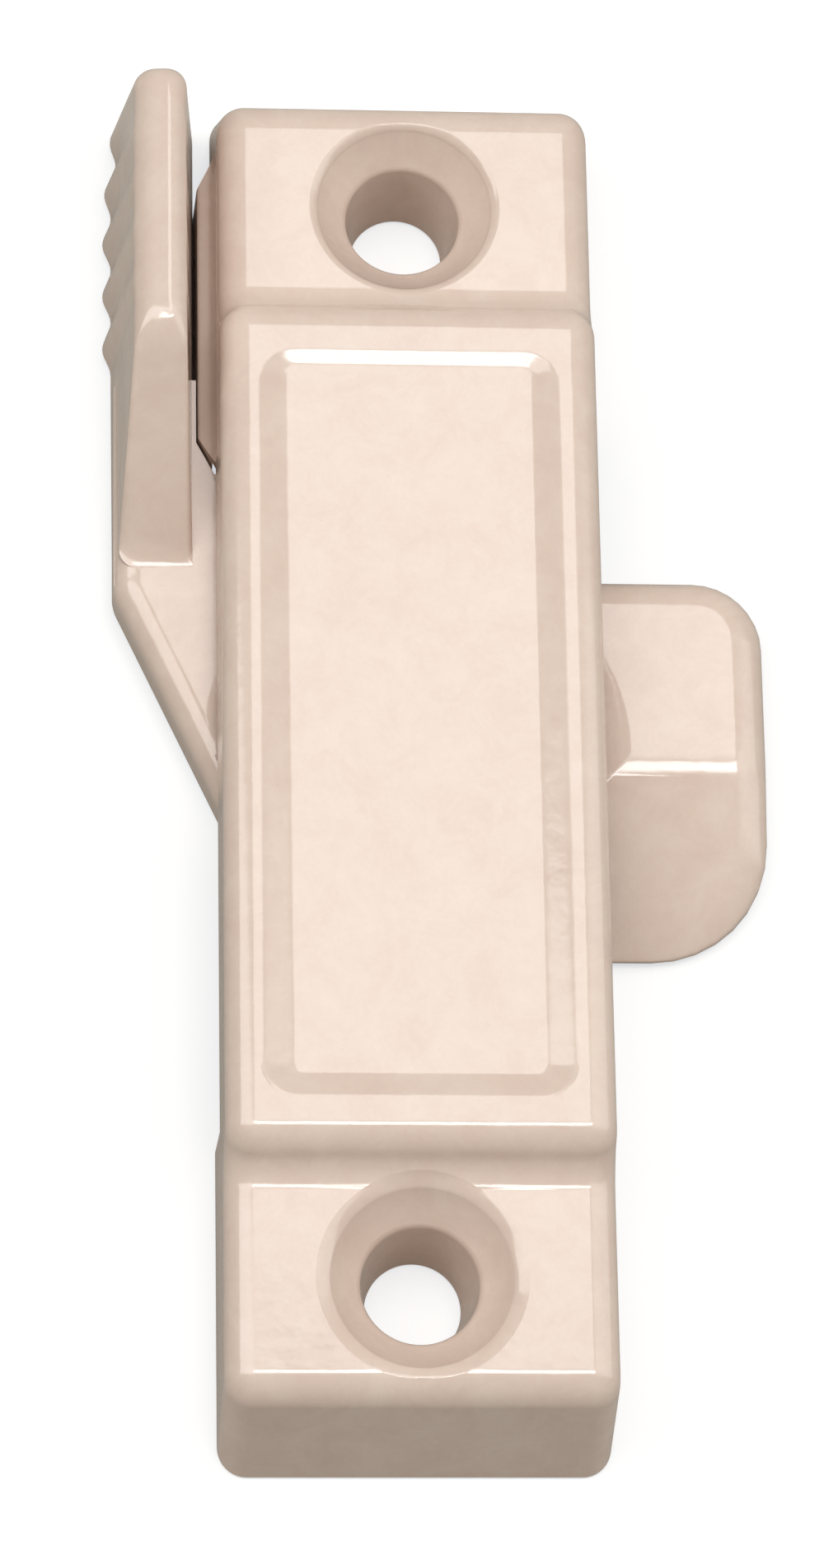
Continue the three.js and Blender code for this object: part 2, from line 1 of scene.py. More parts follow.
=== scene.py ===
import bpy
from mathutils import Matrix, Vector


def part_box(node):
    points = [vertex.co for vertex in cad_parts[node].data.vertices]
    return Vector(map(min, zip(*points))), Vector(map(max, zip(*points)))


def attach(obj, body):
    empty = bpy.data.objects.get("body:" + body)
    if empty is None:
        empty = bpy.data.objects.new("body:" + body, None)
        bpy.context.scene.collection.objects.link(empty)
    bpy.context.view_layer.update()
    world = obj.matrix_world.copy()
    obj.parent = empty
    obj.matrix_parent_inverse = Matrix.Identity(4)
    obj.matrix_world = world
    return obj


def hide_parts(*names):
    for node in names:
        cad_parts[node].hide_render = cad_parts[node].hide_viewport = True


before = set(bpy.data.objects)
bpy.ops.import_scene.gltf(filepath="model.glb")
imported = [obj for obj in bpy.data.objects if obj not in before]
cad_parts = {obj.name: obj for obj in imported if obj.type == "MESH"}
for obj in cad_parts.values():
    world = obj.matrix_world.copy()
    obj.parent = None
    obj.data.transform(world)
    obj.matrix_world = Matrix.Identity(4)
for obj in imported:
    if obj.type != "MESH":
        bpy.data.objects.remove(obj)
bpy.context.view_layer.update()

# %% [markdown]
# A window latch is two painted castings, a housing and a lever, on a riveted pivot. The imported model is
# loaded as a frame that is right in size and place, but its curves are made of flat facets, and gloss
# paint shows every facet. So each piece is modelled again here with finer roundings, in the same place,
# and stands for the plain solid of the frame.
#
# Modelling is done in millimetres, because the edit operators work best when one unit is about as large
# as the details. The last step of each piece shrinks it to metres.
#
# Every operator of Blender works on what is selected, so the first helpers select. By hand one clicks on
# an edge; in a script one describes it, by its place, its direction or the faces beside it, and a test
# picks all edges that fit. The booleans that add one solid to another, or cut it away, are applied at once,
# so that the next step finds plain geometry.

# %% Helpers for selecting and joining
import math

import bmesh
import bpy
from mathutils import Matrix, Vector

MM = 0.001
# Points nearer than this many millimetres count as being in the same place.
CLOSE = 1e-3
# A direction counts as lying along an axis when its share of that axis is larger than this.
POINTING = 0.9


def deselect_all():
    if bpy.context.object and bpy.context.object.mode != "OBJECT":
        bpy.ops.object.mode_set(mode="OBJECT")
    bpy.ops.object.select_all(action="DESELECT")


def activate(piece):
    deselect_all()
    piece.select_set(True)
    bpy.context.view_layer.objects.active = piece


def pick(piece, kind, test):
    """Selects, in edit mode, the VERT, EDGE or FACE elements of a piece that pass a test."""
    if bpy.context.object is not piece or piece.mode != "EDIT":
        activate(piece)
        bpy.ops.object.mode_set(mode="EDIT")
    bpy.ops.mesh.select_mode(type=kind)
    bpy.ops.mesh.select_all(action="DESELECT")
    mesh = bmesh.from_edit_mesh(piece.data)
    group = {"VERT": mesh.verts, "EDGE": mesh.edges, "FACE": mesh.faces}[kind]
    chosen = [element for element in group if test(element)]
    for element in chosen:
        element.select_set(True)
    mesh.select_flush_mode()
    bmesh.update_edit_mesh(piece.data)


def everything(element):
    return True


def middle(edge):
    return (edge.verts[0].co + edge.verts[1].co) / 2


def along(edge):
    return (edge.verts[1].co - edge.verts[0].co).normalized()


def slice_at(piece, point, normal):
    """Cuts new edges into the whole piece along a plane."""
    pick(piece, "VERT", everything)
    bpy.ops.mesh.bisect(plane_co=point, plane_no=normal)


def extrude_up(rise):
    """Extrudes the selected faces along Z."""
    bpy.ops.mesh.extrude_region_move(TRANSFORM_OT_translate={"value": (0, 0, rise)})


def outwards(piece):
    pick(piece, "FACE", everything)
    bpy.ops.mesh.normals_make_consistent(inside=False)
    deselect_all()


def combine(piece, other, operation):
    """Adds another solid to a piece (UNION) or cuts it away (DIFFERENCE), and removes the other."""
    activate(piece)
    boolean = piece.modifiers.new("boolean", "BOOLEAN")
    boolean.operation = operation
    boolean.solver = "EXACT"
    boolean.object = other
    bpy.ops.object.modifier_apply(modifier=boolean.name)
    bpy.data.objects.remove(other, do_unlink=True)


# %% [markdown]
# A latch needs only a few kinds of starting shape: a cuboid, a turned solid, a plate with round corners, a
# stack of outlines and a washer. Each begins as a primitive of the right size and place and gets its shape
# in edit mode, mostly by extrudes. Roundness comes from the number of sides, so the circles are fine enough
# that a reflection glides along them without a kink.

# %% Helpers for starting shapes
CIRCLE_SIDES = 96
CORNER_STEPS = 8


def add_box(name, low, high):
    deselect_all()
    centre = [(a + b) / 2 for a, b in zip(low, high)]
    bpy.ops.mesh.primitive_cube_add(size=1, location=centre)
    box = bpy.context.object
    box.name = name
    box.scale = [b - a for a, b in zip(low, high)]
    bpy.ops.object.transform_apply(location=True, rotation=False, scale=True)
    return box


def add_turned(name, profile, x=0.0, y=0.0, sides=CIRCLE_SIDES):
    """A turned solid: a filled circle, extruded and scaled ring by ring along a [radius, z] profile."""
    deselect_all()
    radius, z = profile[0]
    bpy.ops.mesh.primitive_circle_add(
        vertices=sides, radius=radius, fill_type="NGON", location=(x, y, z))
    turned = bpy.context.object
    turned.name = name
    bpy.ops.object.transform_apply(location=True, rotation=False, scale=False)
    pick(turned, "FACE", everything)
    for next_radius, next_z in profile[1:]:
        extrude_up(next_z - z)
        share = next_radius / radius
        bpy.ops.transform.resize(value=(share, share, 1), center_override=(x, y, next_z))
        radius, z = next_radius, next_z
    outwards(turned)
    return turned


def add_rod(name, radius, bottom, top, y=0.0):
    """A plain round rod, for bosses and bores on the middle line."""
    return add_turned(name, [(radius, bottom), (radius, top)], 0.0, y)


def add_plate(name, corners, bottom, top):
    """A plate with the plan corners [x, y, radius], rounded by vertex bevels and then extruded."""
    deselect_all()
    bpy.ops.mesh.primitive_circle_add(vertices=len(corners), radius=1, fill_type="NGON")
    plate = bpy.context.object
    plate.name = name
    for vert, (x, y, _) in zip(plate.data.vertices, corners):
        vert.co = (x, y, bottom)
    for i, (x, y, radius) in enumerate(corners):
        if not radius:
            continue
        here = Vector((x, y, bottom))
        back = Vector((*corners[i - 1][:2], bottom)) - here
        ahead = Vector((*corners[(i + 1) % len(corners)][:2], bottom)) - here
        reach = radius / math.tan(back.angle(ahead) / 2)
        pick(plate, "VERT", lambda vert: (vert.co - here).length < CLOSE)
        bpy.ops.mesh.bevel(offset=reach, segments=CORNER_STEPS, affect="VERTICES", clamp_overlap=False)
    pick(plate, "FACE", everything)
    extrude_up(top - bottom)
    outwards(plate)
    return plate


def add_stack(name, sections):
    """A solid from (outline, z) pairs: the first is filled, each next one extruded and put in place."""
    deselect_all()
    points, z = sections[0]
    bpy.ops.mesh.primitive_circle_add(vertices=len(points), radius=1, fill_type="NGON")
    stack = bpy.context.object
    stack.name = name
    for vert, (x, y) in zip(stack.data.vertices, points):
        vert.co = (x, y, z)
    pick(stack, "FACE", everything)
    for next_points, next_z in sections[1:]:
        extrude_up(next_z - z)
        mesh = bmesh.from_edit_mesh(stack.data)
        for vert in [vert for vert in mesh.verts if vert.select]:
            nearest = min(range(len(points)), key=lambda i: (Vector(points[i]) - vert.co.xy).length)
            vert.co.xy = next_points[nearest]
        bmesh.update_edit_mesh(stack.data)
        points, z = next_points, next_z
    outwards(stack)
    return stack


def add_ring(name, inner, outer, bottom, top):
    """A flat washer: a circle's edge extruded outwards into a band, and the band extruded upwards."""
    deselect_all()
    bpy.ops.mesh.primitive_circle_add(vertices=CIRCLE_SIDES, radius=inner, location=(0, 0, bottom))
    washer = bpy.context.object
    washer.name = name
    bpy.ops.object.transform_apply(location=True, rotation=False, scale=False)
    pick(washer, "EDGE", everything)
    bpy.ops.mesh.extrude_edges_move()
    bpy.ops.transform.resize(value=(outer / inner, outer / inner, 1), center_override=(0, 0, bottom))
    pick(washer, "FACE", everything)
    extrude_up(top - bottom)
    outwards(washer)
    return washer


def move_verts(piece, rule):
    """Moves every vertex of a piece to where a rule puts it."""
    deselect_all()
    for vert in piece.data.vertices:
        vert.co = rule(vert.co)


def round_edges(piece, radius, steps, test):
    """Rounds the edges that pass a test; at a square edge the offset is the radius."""
    pick(piece, "EDGE", test)
    bpy.ops.mesh.bevel(offset=radius, segments=steps, profile=0.5, clamp_overlap=False)


# %% [markdown]
# A finished piece is shrunk to metres, and its shading is smoothed only where faces meet at less than 32
# degrees, so that roundings look round and real edges stay crisp. The weighted normals let the large flats
# keep their own direction; without them a flat next to a rounding would look bulged. Then the piece is told
# which body it moves with and which solid of the frame it stands for.

# %% Finishing a piece
SMOOTH_BELOW = math.radians(32)


def finish_piece(piece, body, material, slot, *nodes):
    """Shrinks a piece to metres, smooths its shading and puts it in place of its frame nodes."""
    outwards(piece)
    activate(piece)
    piece.scale = (MM, MM, MM)
    bpy.ops.object.transform_apply(location=True, rotation=True, scale=True)
    bpy.ops.object.shade_smooth_by_angle(angle=SMOOTH_BELOW)
    weighted = piece.modifiers.new("weighted", "WEIGHTED_NORMAL")
    weighted.keep_sharp = True
    bpy.ops.object.modifier_apply(modifier=weighted.name)
    piece.data.materials.clear()
    piece.data.materials.append(material)
    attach(piece, body)
    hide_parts(*nodes)
    print(piece.name, len(piece.data.polygons), "faces")


# %% [markdown]
# The paint is a thick gloss enamel in a warm almond colour. On a casting it never dries quite flat: it
# has a fine orange peel, which breaks up the reflection of a lamp, and faint patches where it lies thicker.
# Two noise textures of different scale drive one bump each for the peel, and a third, broader one shifts
# the colour and the roughness a little. All of them read Object coordinates, so the pattern stays on the
# casting when the lever turns.

# %% Gloss paint
PAINT_COLOUR = (0.690, 0.546, 0.471)
PAINT_PALE = (0.737, 0.609, 0.527)
PAINT_IOR = 1.58
PAINT_GLOSSIEST = 0.11
PAINT_DULLEST = 0.15
PATCH_SIZE_MM = 2.6
PATCH_DETAIL = 7.0
PATCH_DISTORTION = 0.4
PATCH_ROUGHNESS = 0.78
PATCH_SPAN = (0.36, 0.64)
PEEL_SIZE_MM = 1.1
PEEL_DETAIL = 2.0
PEEL_STRENGTH = 0.35
PEEL_DEPTH_MM = 0.04
SPECK_SIZE_MM = 0.35
SPECK_DETAIL = 1.0
SPECK_STRENGTH = 0.2
SPECK_DEPTH_MM = 0.01
# Most values of a noise texture lie between these two.
NOISE_SPAN = (0.3, 0.7)


def new_material(name):
    material = bpy.data.materials.new(name)
    material.use_nodes = True
    tree = material.node_tree
    return material, tree, tree.nodes["Principled BSDF"]


def add_noise(tree, coordinates, size_mm, detail, distortion=0.0, roughness=0.5):
    noise = tree.nodes.new("ShaderNodeTexNoise")
    noise.inputs["Roughness"].default_value = roughness
    noise.inputs["Scale"].default_value = 1 / (size_mm * MM)
    noise.inputs["Detail"].default_value = detail
    noise.inputs["Distortion"].default_value = distortion
    tree.links.new(coordinates.outputs["Object"], noise.inputs["Vector"])
    return noise


def add_ramp(tree, texture, span, first, last):
    """Goes from a first to a last colour while the texture goes through a span of values."""
    ramp = tree.nodes.new("ShaderNodeValToRGB")
    ramp.color_ramp.elements[0].position = span[0]
    ramp.color_ramp.elements[1].position = span[1]
    ramp.color_ramp.elements[0].color = (*first, 1)
    ramp.color_ramp.elements[1].color = (*last, 1)
    tree.links.new(texture.outputs["Fac"], ramp.inputs["Fac"])
    return ramp


def add_bump(tree, texture, strength, depth_mm):
    bump = tree.nodes.new("ShaderNodeBump")
    bump.inputs["Strength"].default_value = strength
    bump.inputs["Distance"].default_value = depth_mm * MM
    tree.links.new(texture.outputs["Fac"], bump.inputs["Height"])
    return bump


def gloss_paint(name):
    material, tree, shader = new_material(name)
    coordinates = tree.nodes.new("ShaderNodeTexCoord")
    patches = add_noise(tree, coordinates, PATCH_SIZE_MM, PATCH_DETAIL, PATCH_DISTORTION, PATCH_ROUGHNESS)
    tint = add_ramp(tree, patches, PATCH_SPAN, PAINT_COLOUR, PAINT_PALE)
    tree.links.new(tint.outputs["Color"], shader.inputs["Base Color"])
    gloss = add_ramp(tree, patches, NOISE_SPAN, (PAINT_GLOSSIEST,) * 3, (PAINT_DULLEST,) * 3)
    tree.links.new(gloss.outputs["Color"], shader.inputs["Roughness"])
    peel = add_noise(tree, coordinates, PEEL_SIZE_MM, PEEL_DETAIL)
    speck = add_noise(tree, coordinates, SPECK_SIZE_MM, SPECK_DETAIL)
    coarse = add_bump(tree, peel, PEEL_STRENGTH, PEEL_DEPTH_MM)
    fine = add_bump(tree, speck, SPECK_STRENGTH, SPECK_DEPTH_MM)
    tree.links.new(coarse.outputs["Normal"], fine.inputs["Normal"])
    tree.links.new(fine.outputs["Normal"], shader.inputs["Normal"])
    shader.inputs["IOR"].default_value = PAINT_IOR
    return material


housing_paint = gloss_paint("housing_paint")
lever_paint = gloss_paint("lever_paint")
print("paint:", housing_paint.name, lever_paint.name)

# %% [markdown]
# The housing is a casting with a flat back: two low screw blocks with sloping ends, and a higher middle
# with a shallow field sunk into it. It can be box-modelled: start from a cuboid, cut it at the feet of the
# middle, and raise the middle with an extrude. Then every front edge is bevelled, first the ones across
# the casting and then the two long chains along its sides, so that the roundings flow into each other.

# %% Housing, outside
housing_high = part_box("housing")[1] / MM
BODY_SIDE = housing_high.x
BODY_END = housing_high.y
RAISED_Z = housing_high.z
STEP_DROP = 1.8
STEP_RUN = 1.0
RAISED_LOW = -23.2
RAISED_HIGH = 22.95
END_RUN = 2.5
UPPER_END_RUN = 2.85
SIDE_DRAFT = math.tan(math.radians(1.0))
STEP_RADIUS = 1.72
END_RADIUS = 1.8
SIDE_RADIUS = 1.45
EDGE_STEPS = 10
FLAT_WITHIN = math.radians(0.5)
BLOCK_Z = RAISED_Z - STEP_DROP


def half_angle_offset(radius, rise, run):
    """Bevel offset for a radius at the edge between a level face and one that rises over a run."""
    return radius * math.tan(math.atan2(rise, run) / 2)


STEP_OFFSET = half_angle_offset(STEP_RADIUS, STEP_DROP, STEP_RUN)
END_OFFSET = half_angle_offset(END_RADIUS, BLOCK_Z, END_RUN)


def middle_front(face):
    return face.normal.z > POINTING and RAISED_LOW < face.calc_center_median().y < RAISED_HIGH


def housing_block():
    """The two screw blocks and the higher middle, with drafted sides and sloping ends."""
    block = add_box("housing_shell", (-BODY_SIDE, -BODY_END, 0), (BODY_SIDE, BODY_END, BLOCK_Z))
    for y in (RAISED_LOW, RAISED_HIGH):
        slice_at(block, (0, y, 0), (0, 1, 0))
    pick(block, "FACE", middle_front)
    extrude_up(STEP_DROP)
    share = 1 - 2 * STEP_RUN / (RAISED_HIGH - RAISED_LOW)
    centre = (0, (RAISED_LOW + RAISED_HIGH) / 2, RAISED_Z)
    bpy.ops.transform.resize(value=(1, share, 1), center_override=centre)
    for z in (BLOCK_Z, RAISED_Z):
        pick(block, "VERT", lambda v: abs(v.co.z - z) < CLOSE)
        bpy.ops.transform.resize(value=(1 - z * SIDE_DRAFT / BODY_SIDE, 1, 1), center_override=(0, 0, z))
    for side, shift in ((-1, END_RUN), (1, -UPPER_END_RUN)):
        pick(block, "VERT", lambda v: side * v.co.y > BODY_END - CLOSE and v.co.z > BLOCK_Z - CLOSE)
        bpy.ops.transform.translate(value=(0, shift, 0))
    pick(block, "FACE", everything)
    bpy.ops.mesh.dissolve_limited(angle_limit=FLAT_WITHIN)
    return block


def runs_across(edge):
    """True for an edge of the front that runs across the casting."""
    return abs(along(edge).x) > POINTING and middle(edge).z > CLOSE


def at_end(edge):
    return abs(middle(edge).y) > BODY_END - UPPER_END_RUN - CLOSE


def on_long_side(edge):
    """True for an edge between one of the long sides and the front."""
    sideways = [abs(face.normal.x) > POINTING for face in edge.link_faces]
    return any(sideways) and not all(sideways) and middle(edge).z > CLOSE


shell = housing_block()
round_edges(shell, STEP_OFFSET, EDGE_STEPS, lambda e: runs_across(e) and not at_end(e))
round_edges(shell, END_OFFSET, EDGE_STEPS, lambda e: runs_across(e) and at_end(e))
round_edges(shell, SIDE_RADIUS, EDGE_STEPS, on_long_side)
deselect_all()
print("housing outside:", len(shell.data.polygons), "faces")

# %% [markdown]
# The field in the front is a shallow tray with sloping borders. A pattern maker would sand it into the
# pattern with a rounded block: no border is a plain chamfer, each runs out softly at the top and at the
# floor. So the tool that cuts it is a stack of outlines that follow a soft step, first one unit deep and
# then sunk to the real depth, which is a little less at the upper end. There the border leans just enough
# to catch a lamp.

# %% Housing, front field
FIELD_MOUTH = (-7.97, -20.05, 7.74, 19.85)
FIELD_FLOOR = (-6.12, -18.55, 6.12, 18.8)
FIELD_CORNER = 1.8
FIELD_FLOOR_CORNER = 0.4
FIELD_STEPS = 12
FIELD_SOFT = 0.24
FIELD_DEPTH = 0.32
FIELD_TILT_X = 0.003
FIELD_TILT_Y = 0.0065
FIELD_MARGIN = 0.3
FIELD_ABOVE = 0.05


def quarter_arc(x, y, radius, start):
    """Points of a quarter circle, anticlockwise from a start angle in degrees."""
    angles = [math.radians(start + 90 * i / CORNER_STEPS) for i in range(CORNER_STEPS + 1)]
    return [(x + radius * math.cos(angle), y + radius * math.sin(angle)) for angle in angles]


def rounded_outline(low_x, low_y, high_x, high_y, radius):
    """Outline of a rectangle with round corners."""
    left, right = low_x + radius, high_x - radius
    bottom, top = low_y + radius, high_y - radius
    points = []
    for quarter, (x, y) in enumerate(((right, top), (left, top), (left, bottom), (right, bottom))):
        points += quarter_arc(x, y, radius, 90 * quarter)
    return points


def soft_step(share, soft):
    """Goes from 0 to 1 along a straight line whose two ends are rounded over a soft share of the way."""
    slope = 1 / (1 - soft)
    if share < soft:
        return slope * share ** 2 / (2 * soft)
    if share > 1 - soft:
        return 1 - slope * (1 - share) ** 2 / (2 * soft)
    return slope * (share - soft / 2)


def sunk(point):
    """Drops a point of the flat tray by the field's depth at its place."""
    below = RAISED_Z - point.z
    if below <= 0:
        return point.copy()
    depth = FIELD_DEPTH - FIELD_TILT_Y * point.y + FIELD_TILT_X * point.x
    return Vector((point.x, point.y, RAISED_Z - below * depth))


def field_cutter():
    """A tray one unit deep, built up from its floor, and then sunk to the field's real depth."""
    sections = []
    for i in range(FIELD_STEPS + 1):
        share = i / FIELD_STEPS
        box = [a + (b - a) * share for a, b in zip(FIELD_FLOOR, FIELD_MOUTH)]
        radius = FIELD_FLOOR_CORNER + (FIELD_CORNER - FIELD_FLOOR_CORNER) * share
        sections.append((rounded_outline(*box, radius), RAISED_Z - 1 + soft_step(share, FIELD_SOFT)))
    grown = [a + math.copysign(FIELD_MARGIN, a) for a in FIELD_MOUTH]
    sections.append((rounded_outline(*grown, FIELD_CORNER + FIELD_MARGIN), RAISED_Z + FIELD_ABOVE))
    tray = add_stack("field_cutter", sections)
    move_verts(tray, sunk)
    return tray


combine(shell, field_cutter(), "DIFFERENCE")
print("front field sunk:", len(shell.data.polygons), "faces")

# %% [markdown]
# Each end block has a hole for a countersunk screw. The cone has a second, flatter ring around it, because
# thick paint rounds off the rim. The tool is a turned solid, but close to the step and to the end the front
# isn't flat any more. There the outer rings of the tool are moved up and down with the front, so that the
# rim keeps its width all the way around.

# %% Housing, screw holes
HOLE_Y = 28.575
HOLE_SIDES = 128
THROAT_Z = -1.9
RIM_FROM = 4.5
RIM_TO = 5.24
UPPER_RIM_SHARE = 0.6
# Radius and height over the block's front, from the bore up to the rim.
HOLE_PROFILE = [
    (2.32, -8.2), (2.93, THROAT_Z - 0.25), (3.01, THROAT_Z), (3.19, THROAT_Z + 0.2), (4.46, -0.46),
    (RIM_FROM, -0.37), (4.58, -0.29), (4.70, -0.21), (4.84, -0.13), (4.98, -0.07), (5.12, -0.025),
    (RIM_TO, -0.004), (5.7, 0.1)]
FOLLOW_LIMIT = 1.4
CAP_DEPTH = 0.2
CAP_RISE = 4.0
UPWARDS = 0.5


def clamp(share):
    return min(max(share, 0), 1)


def front_rise(y):
    """Height of a screw block's front above its flat: up into the step's foot, down over the end."""
    end = BODY_END - (END_RUN if y < 0 else UPPER_END_RUN) - END_OFFSET
    foot = (-RAISED_LOW if y < 0 else RAISED_HIGH) + STEP_OFFSET
    over = max(abs(y) - end, 0)
    under = max(foot - abs(y), 0)
    fall = END_RADIUS - math.sqrt(END_RADIUS ** 2 - over ** 2)
    climb = STEP_RADIUS - math.sqrt(STEP_RADIUS ** 2 - min(under, FOLLOW_LIMIT) ** 2)
    return climb - fall


def hole_cutter(y):
    """Bore, cone and a rim whose outer rings follow the front up and down, so that it runs out softly."""
    width = 1 if y < 0 else UPPER_RIM_SHARE
    profile = [(min(r, RIM_FROM) + width * max(r - RIM_FROM, 0), BLOCK_Z + z) for r, z in HOLE_PROFILE]
    cutter = add_turned("hole_cutter", profile, 0, y, HOLE_SIDES)

    def follow(point):
        radius = math.hypot(point.x, point.y - y)
        share = clamp((radius - RIM_FROM) / (RIM_TO - RIM_FROM) / width)
        return Vector((point.x, point.y, point.z + share * front_rise(point.y)))

    move_verts(cutter, follow)
    pick(cutter, "FACE", lambda f: f.normal.z > UPWARDS and f.calc_center_median().z > BLOCK_Z - CAP_DEPTH)
    extrude_up(CAP_RISE)
    outwards(cutter)
    return cutter


for y in (-HOLE_Y, HOLE_Y):
    combine(shell, hole_cutter(y), "DIFFERENCE")
print("screw holes cut:", len(shell.data.polygons), "faces")

# %% [markdown]
# Behind its front the casting is hollow, to save metal and to make room for the lever. Each screw block has
# a core with a boss around its hole and a rib on both sides, the middle has one long cavity. Two pads in
# the roof of the cavity carry the pivot and the click spring. All of them are cut or added with booleans,
# because simple solids that overlap are easier to place than extrudes inside a hollow.

# %% Housing, hollow back
CAVITY_SIDE = BODY_SIDE - 1.5
CAVITY_END = 20.4
ROOF_Z = 6.2
ROOF_EDGE = 0.5
ROOF_EDGE_STEPS = 4
CAVITY_CORNER = 1.5
CORE_INNER = CAVITY_END + 2.0
CORE_OUTER = 33.35
CORE_Z = BLOCK_Z - 2.5
BOSS_RADIUS = 4.4
RIB_HALF = 0.8
PIVOT_BOSS_RADIUS = 4.5
PIVOT_BOSS_Z = 5.1
PIVOT_HOLE_RADIUS = 2.05
SPRING_Y = -15.2
SPRING_PAD_RADIUS = 2.2
SPRING_PAD_Z = 5.8
SPRING_HOLE_RADIUS = 0.95
PAD_SINK = 0.5
BLIND_Z = 7.0
# A cutter reaches this far out of the solid that it cuts.
OVERCUT = 1.0
# A face counts as level when its normal's share of Z is larger than this.
LEVEL = 0.99


def level_edge(edge, z):
    """True for an edge at a height between a level face and a sloping or upright one."""
    if any(abs(vert.co.z - z) > CLOSE for vert in edge.verts):
        return False
    level = [abs(face.normal.z) > LEVEL for face in edge.link_faces]
    return any(level) and not all(level)


def rectangle(x0, y0, x1, y1, radius):
    return [(x1, y0, radius), (x1, y1, radius), (x0, y1, radius), (x0, y0, radius)]


def core_cutter(side):
    low, high = sorted((side * CORE_INNER, side * CORE_OUTER))
    outline = rectangle(-CAVITY_SIDE, low, CAVITY_SIDE, high, CAVITY_CORNER)
    core = add_plate("core", outline, -OVERCUT, CORE_Z)
    hole_y = side * HOLE_Y
    bottom, top = -2 * OVERCUT, CORE_Z + OVERCUT
    combine(core, add_rod("boss", BOSS_RADIUS, bottom, top, hole_y), "DIFFERENCE")
    rib = add_box("rib", (-BODY_SIDE, hole_y - RIB_HALF, bottom), (BODY_SIDE, hole_y + RIB_HALF, top))
    combine(core, rib, "DIFFERENCE")
    return core


cavity_outline = rectangle(-CAVITY_SIDE, -CAVITY_END, CAVITY_SIDE, CAVITY_END, CAVITY_CORNER)
cavity = add_plate("cavity", cavity_outline, -OVERCUT, ROOF_Z)
round_edges(cavity, ROOF_EDGE, ROOF_EDGE_STEPS, lambda e: level_edge(e, ROOF_Z))
combine(shell, cavity, "DIFFERENCE")
for side in (-1, 1):
    combine(shell, core_cutter(side), "DIFFERENCE")
pad_top = ROOF_Z + PAD_SINK
combine(shell, add_rod("pivot_boss", PIVOT_BOSS_RADIUS, PIVOT_BOSS_Z, pad_top), "UNION")
combine(shell, add_rod("pad", SPRING_PAD_RADIUS, SPRING_PAD_Z, pad_top, SPRING_Y), "UNION")
combine(shell, add_rod("pivot_hole", PIVOT_HOLE_RADIUS, -OVERCUT, BLIND_Z), "DIFFERENCE")
combine(shell, add_rod("spring_hole", SPRING_HOLE_RADIUS, -OVERCUT, BLIND_Z, SPRING_Y), "DIFFERENCE")
print("hollow back:", len(shell.data.polygons), "faces")

# %% [markdown]
# On the lever side a low lug grows out of the casting. Its flanks slant, and the lever's wing closes
# against the lower one. Its front runs out into the side in a hollow curve, which a bevel can't give, so
# the lug is a stack of outlines. Each long side also has a slot that the lever reaches through, and those
# are plain boxes that are cut away.

# %% Housing, stop lug and slots
LUG_FOOT = 15.1
LUG_HEAD = 32.6
LUG_ANGLE = math.radians(62)
LUG_FLANK = math.tan(LUG_ANGLE)
LUG_INSIDE = -BODY_SIDE + 0.75
# How far the lug stands out of the side, and the height at which it does.
LUG_SECTION = [
    (0.92, 0.0), (0.92, 3.75), (0.90, 3.86), (0.84, 3.94), (0.74, 4.00), (0.58, 4.06), (0.40, 4.14),
    (0.26, 4.26), (0.15, 4.46), (0.08, 4.76), (0.04, 5.10), (0.01, 5.60)]
LIP_Z = 3.85
SLOT_TOP = 18.9
SLOT_LEFT = -CAVITY_END
SLOT_RIGHT = -10.7
SLOT_OVERCUT = 0.1


def lug_outline(reach, z):
    side = -BODY_SIDE + z * SIDE_DRAFT
    run = reach * LUG_FLANK
    return [
        (LUG_INSIDE, LUG_FOOT), (LUG_INSIDE, LUG_HEAD), (side, LUG_HEAD), (side - reach, LUG_HEAD - run),
        (side - reach, LUG_FOOT + run), (side, LUG_FOOT)]


combine(shell, add_stack("lug", [(lug_outline(reach, z), z) for reach, z in LUG_SECTION]), "UNION")
near, far = CAVITY_SIDE - SLOT_OVERCUT, BODY_SIDE + SLOT_OVERCUT
for left, right, bottom in ((-far, -near, SLOT_LEFT), (near, far, SLOT_RIGHT)):
    slot = add_box("slot", (left, bottom, -OVERCUT), (right, SLOT_TOP, LIP_Z))
    combine(shell, slot, "DIFFERENCE")
finish_piece(shell, "housing", housing_paint, "housing_paint", "housing")

# %% [markdown]
# The lever is one casting too: a flat plate whose right end is the hook and whose left end is a wing, a hub
# in the middle that the rivet passes through, and a finger paddle that stands up from the wing. The hook
# and the wing start as outlines that are extruded and get large roundings on their front edges. The lower
# half of the hook is a ramp, which draws the window shut. Bisects cut narrow bands where the ramp begins,
# and the points are then lowered along a slope with a soft crease, so that the rounded edge goes down with
# it. Around the hub both plates lose a shallow dish, so that they turn freely under the housing.

# %% Lever, hook, wing and hub
lever_low, lever_high = [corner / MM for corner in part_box("lever_hook")]
PLATE_BACK = lever_low.z
PLATE_Z = 3.5
PLATE_EDGE = 1.8
PLATE_EDGE_STEPS = 8
PLATE_CORNER = 2.1
ROOT_HALF = 6.0
ROOT_OVERLAP = 1.0
HOOK_REACH = lever_high.x
HOOK_BOTTOM = -10.4
HOOK_TOP = BODY_SIDE - 0.1
HOOK_HEEL = 5.8
HOOK_LOWER_CORNER = 6.1
HOOK_UPPER_CORNER = 3.6
RAMP_TOP = -0.6
RAMP_DROP = 2.65
RAMP_CREASE = 0.7
CREASE_STEPS = 4
HUB_RADIUS = 7.2
HUB_Z = 4.6
HUB_CHAMFER = 0.3
PADDLE_INNER = -10.73
PADDLE_OUTER = -15.0
PADDLE_FOOT = 10.3
PADDLE_RIM_START = 20.18
WING_ROUND = 1.4
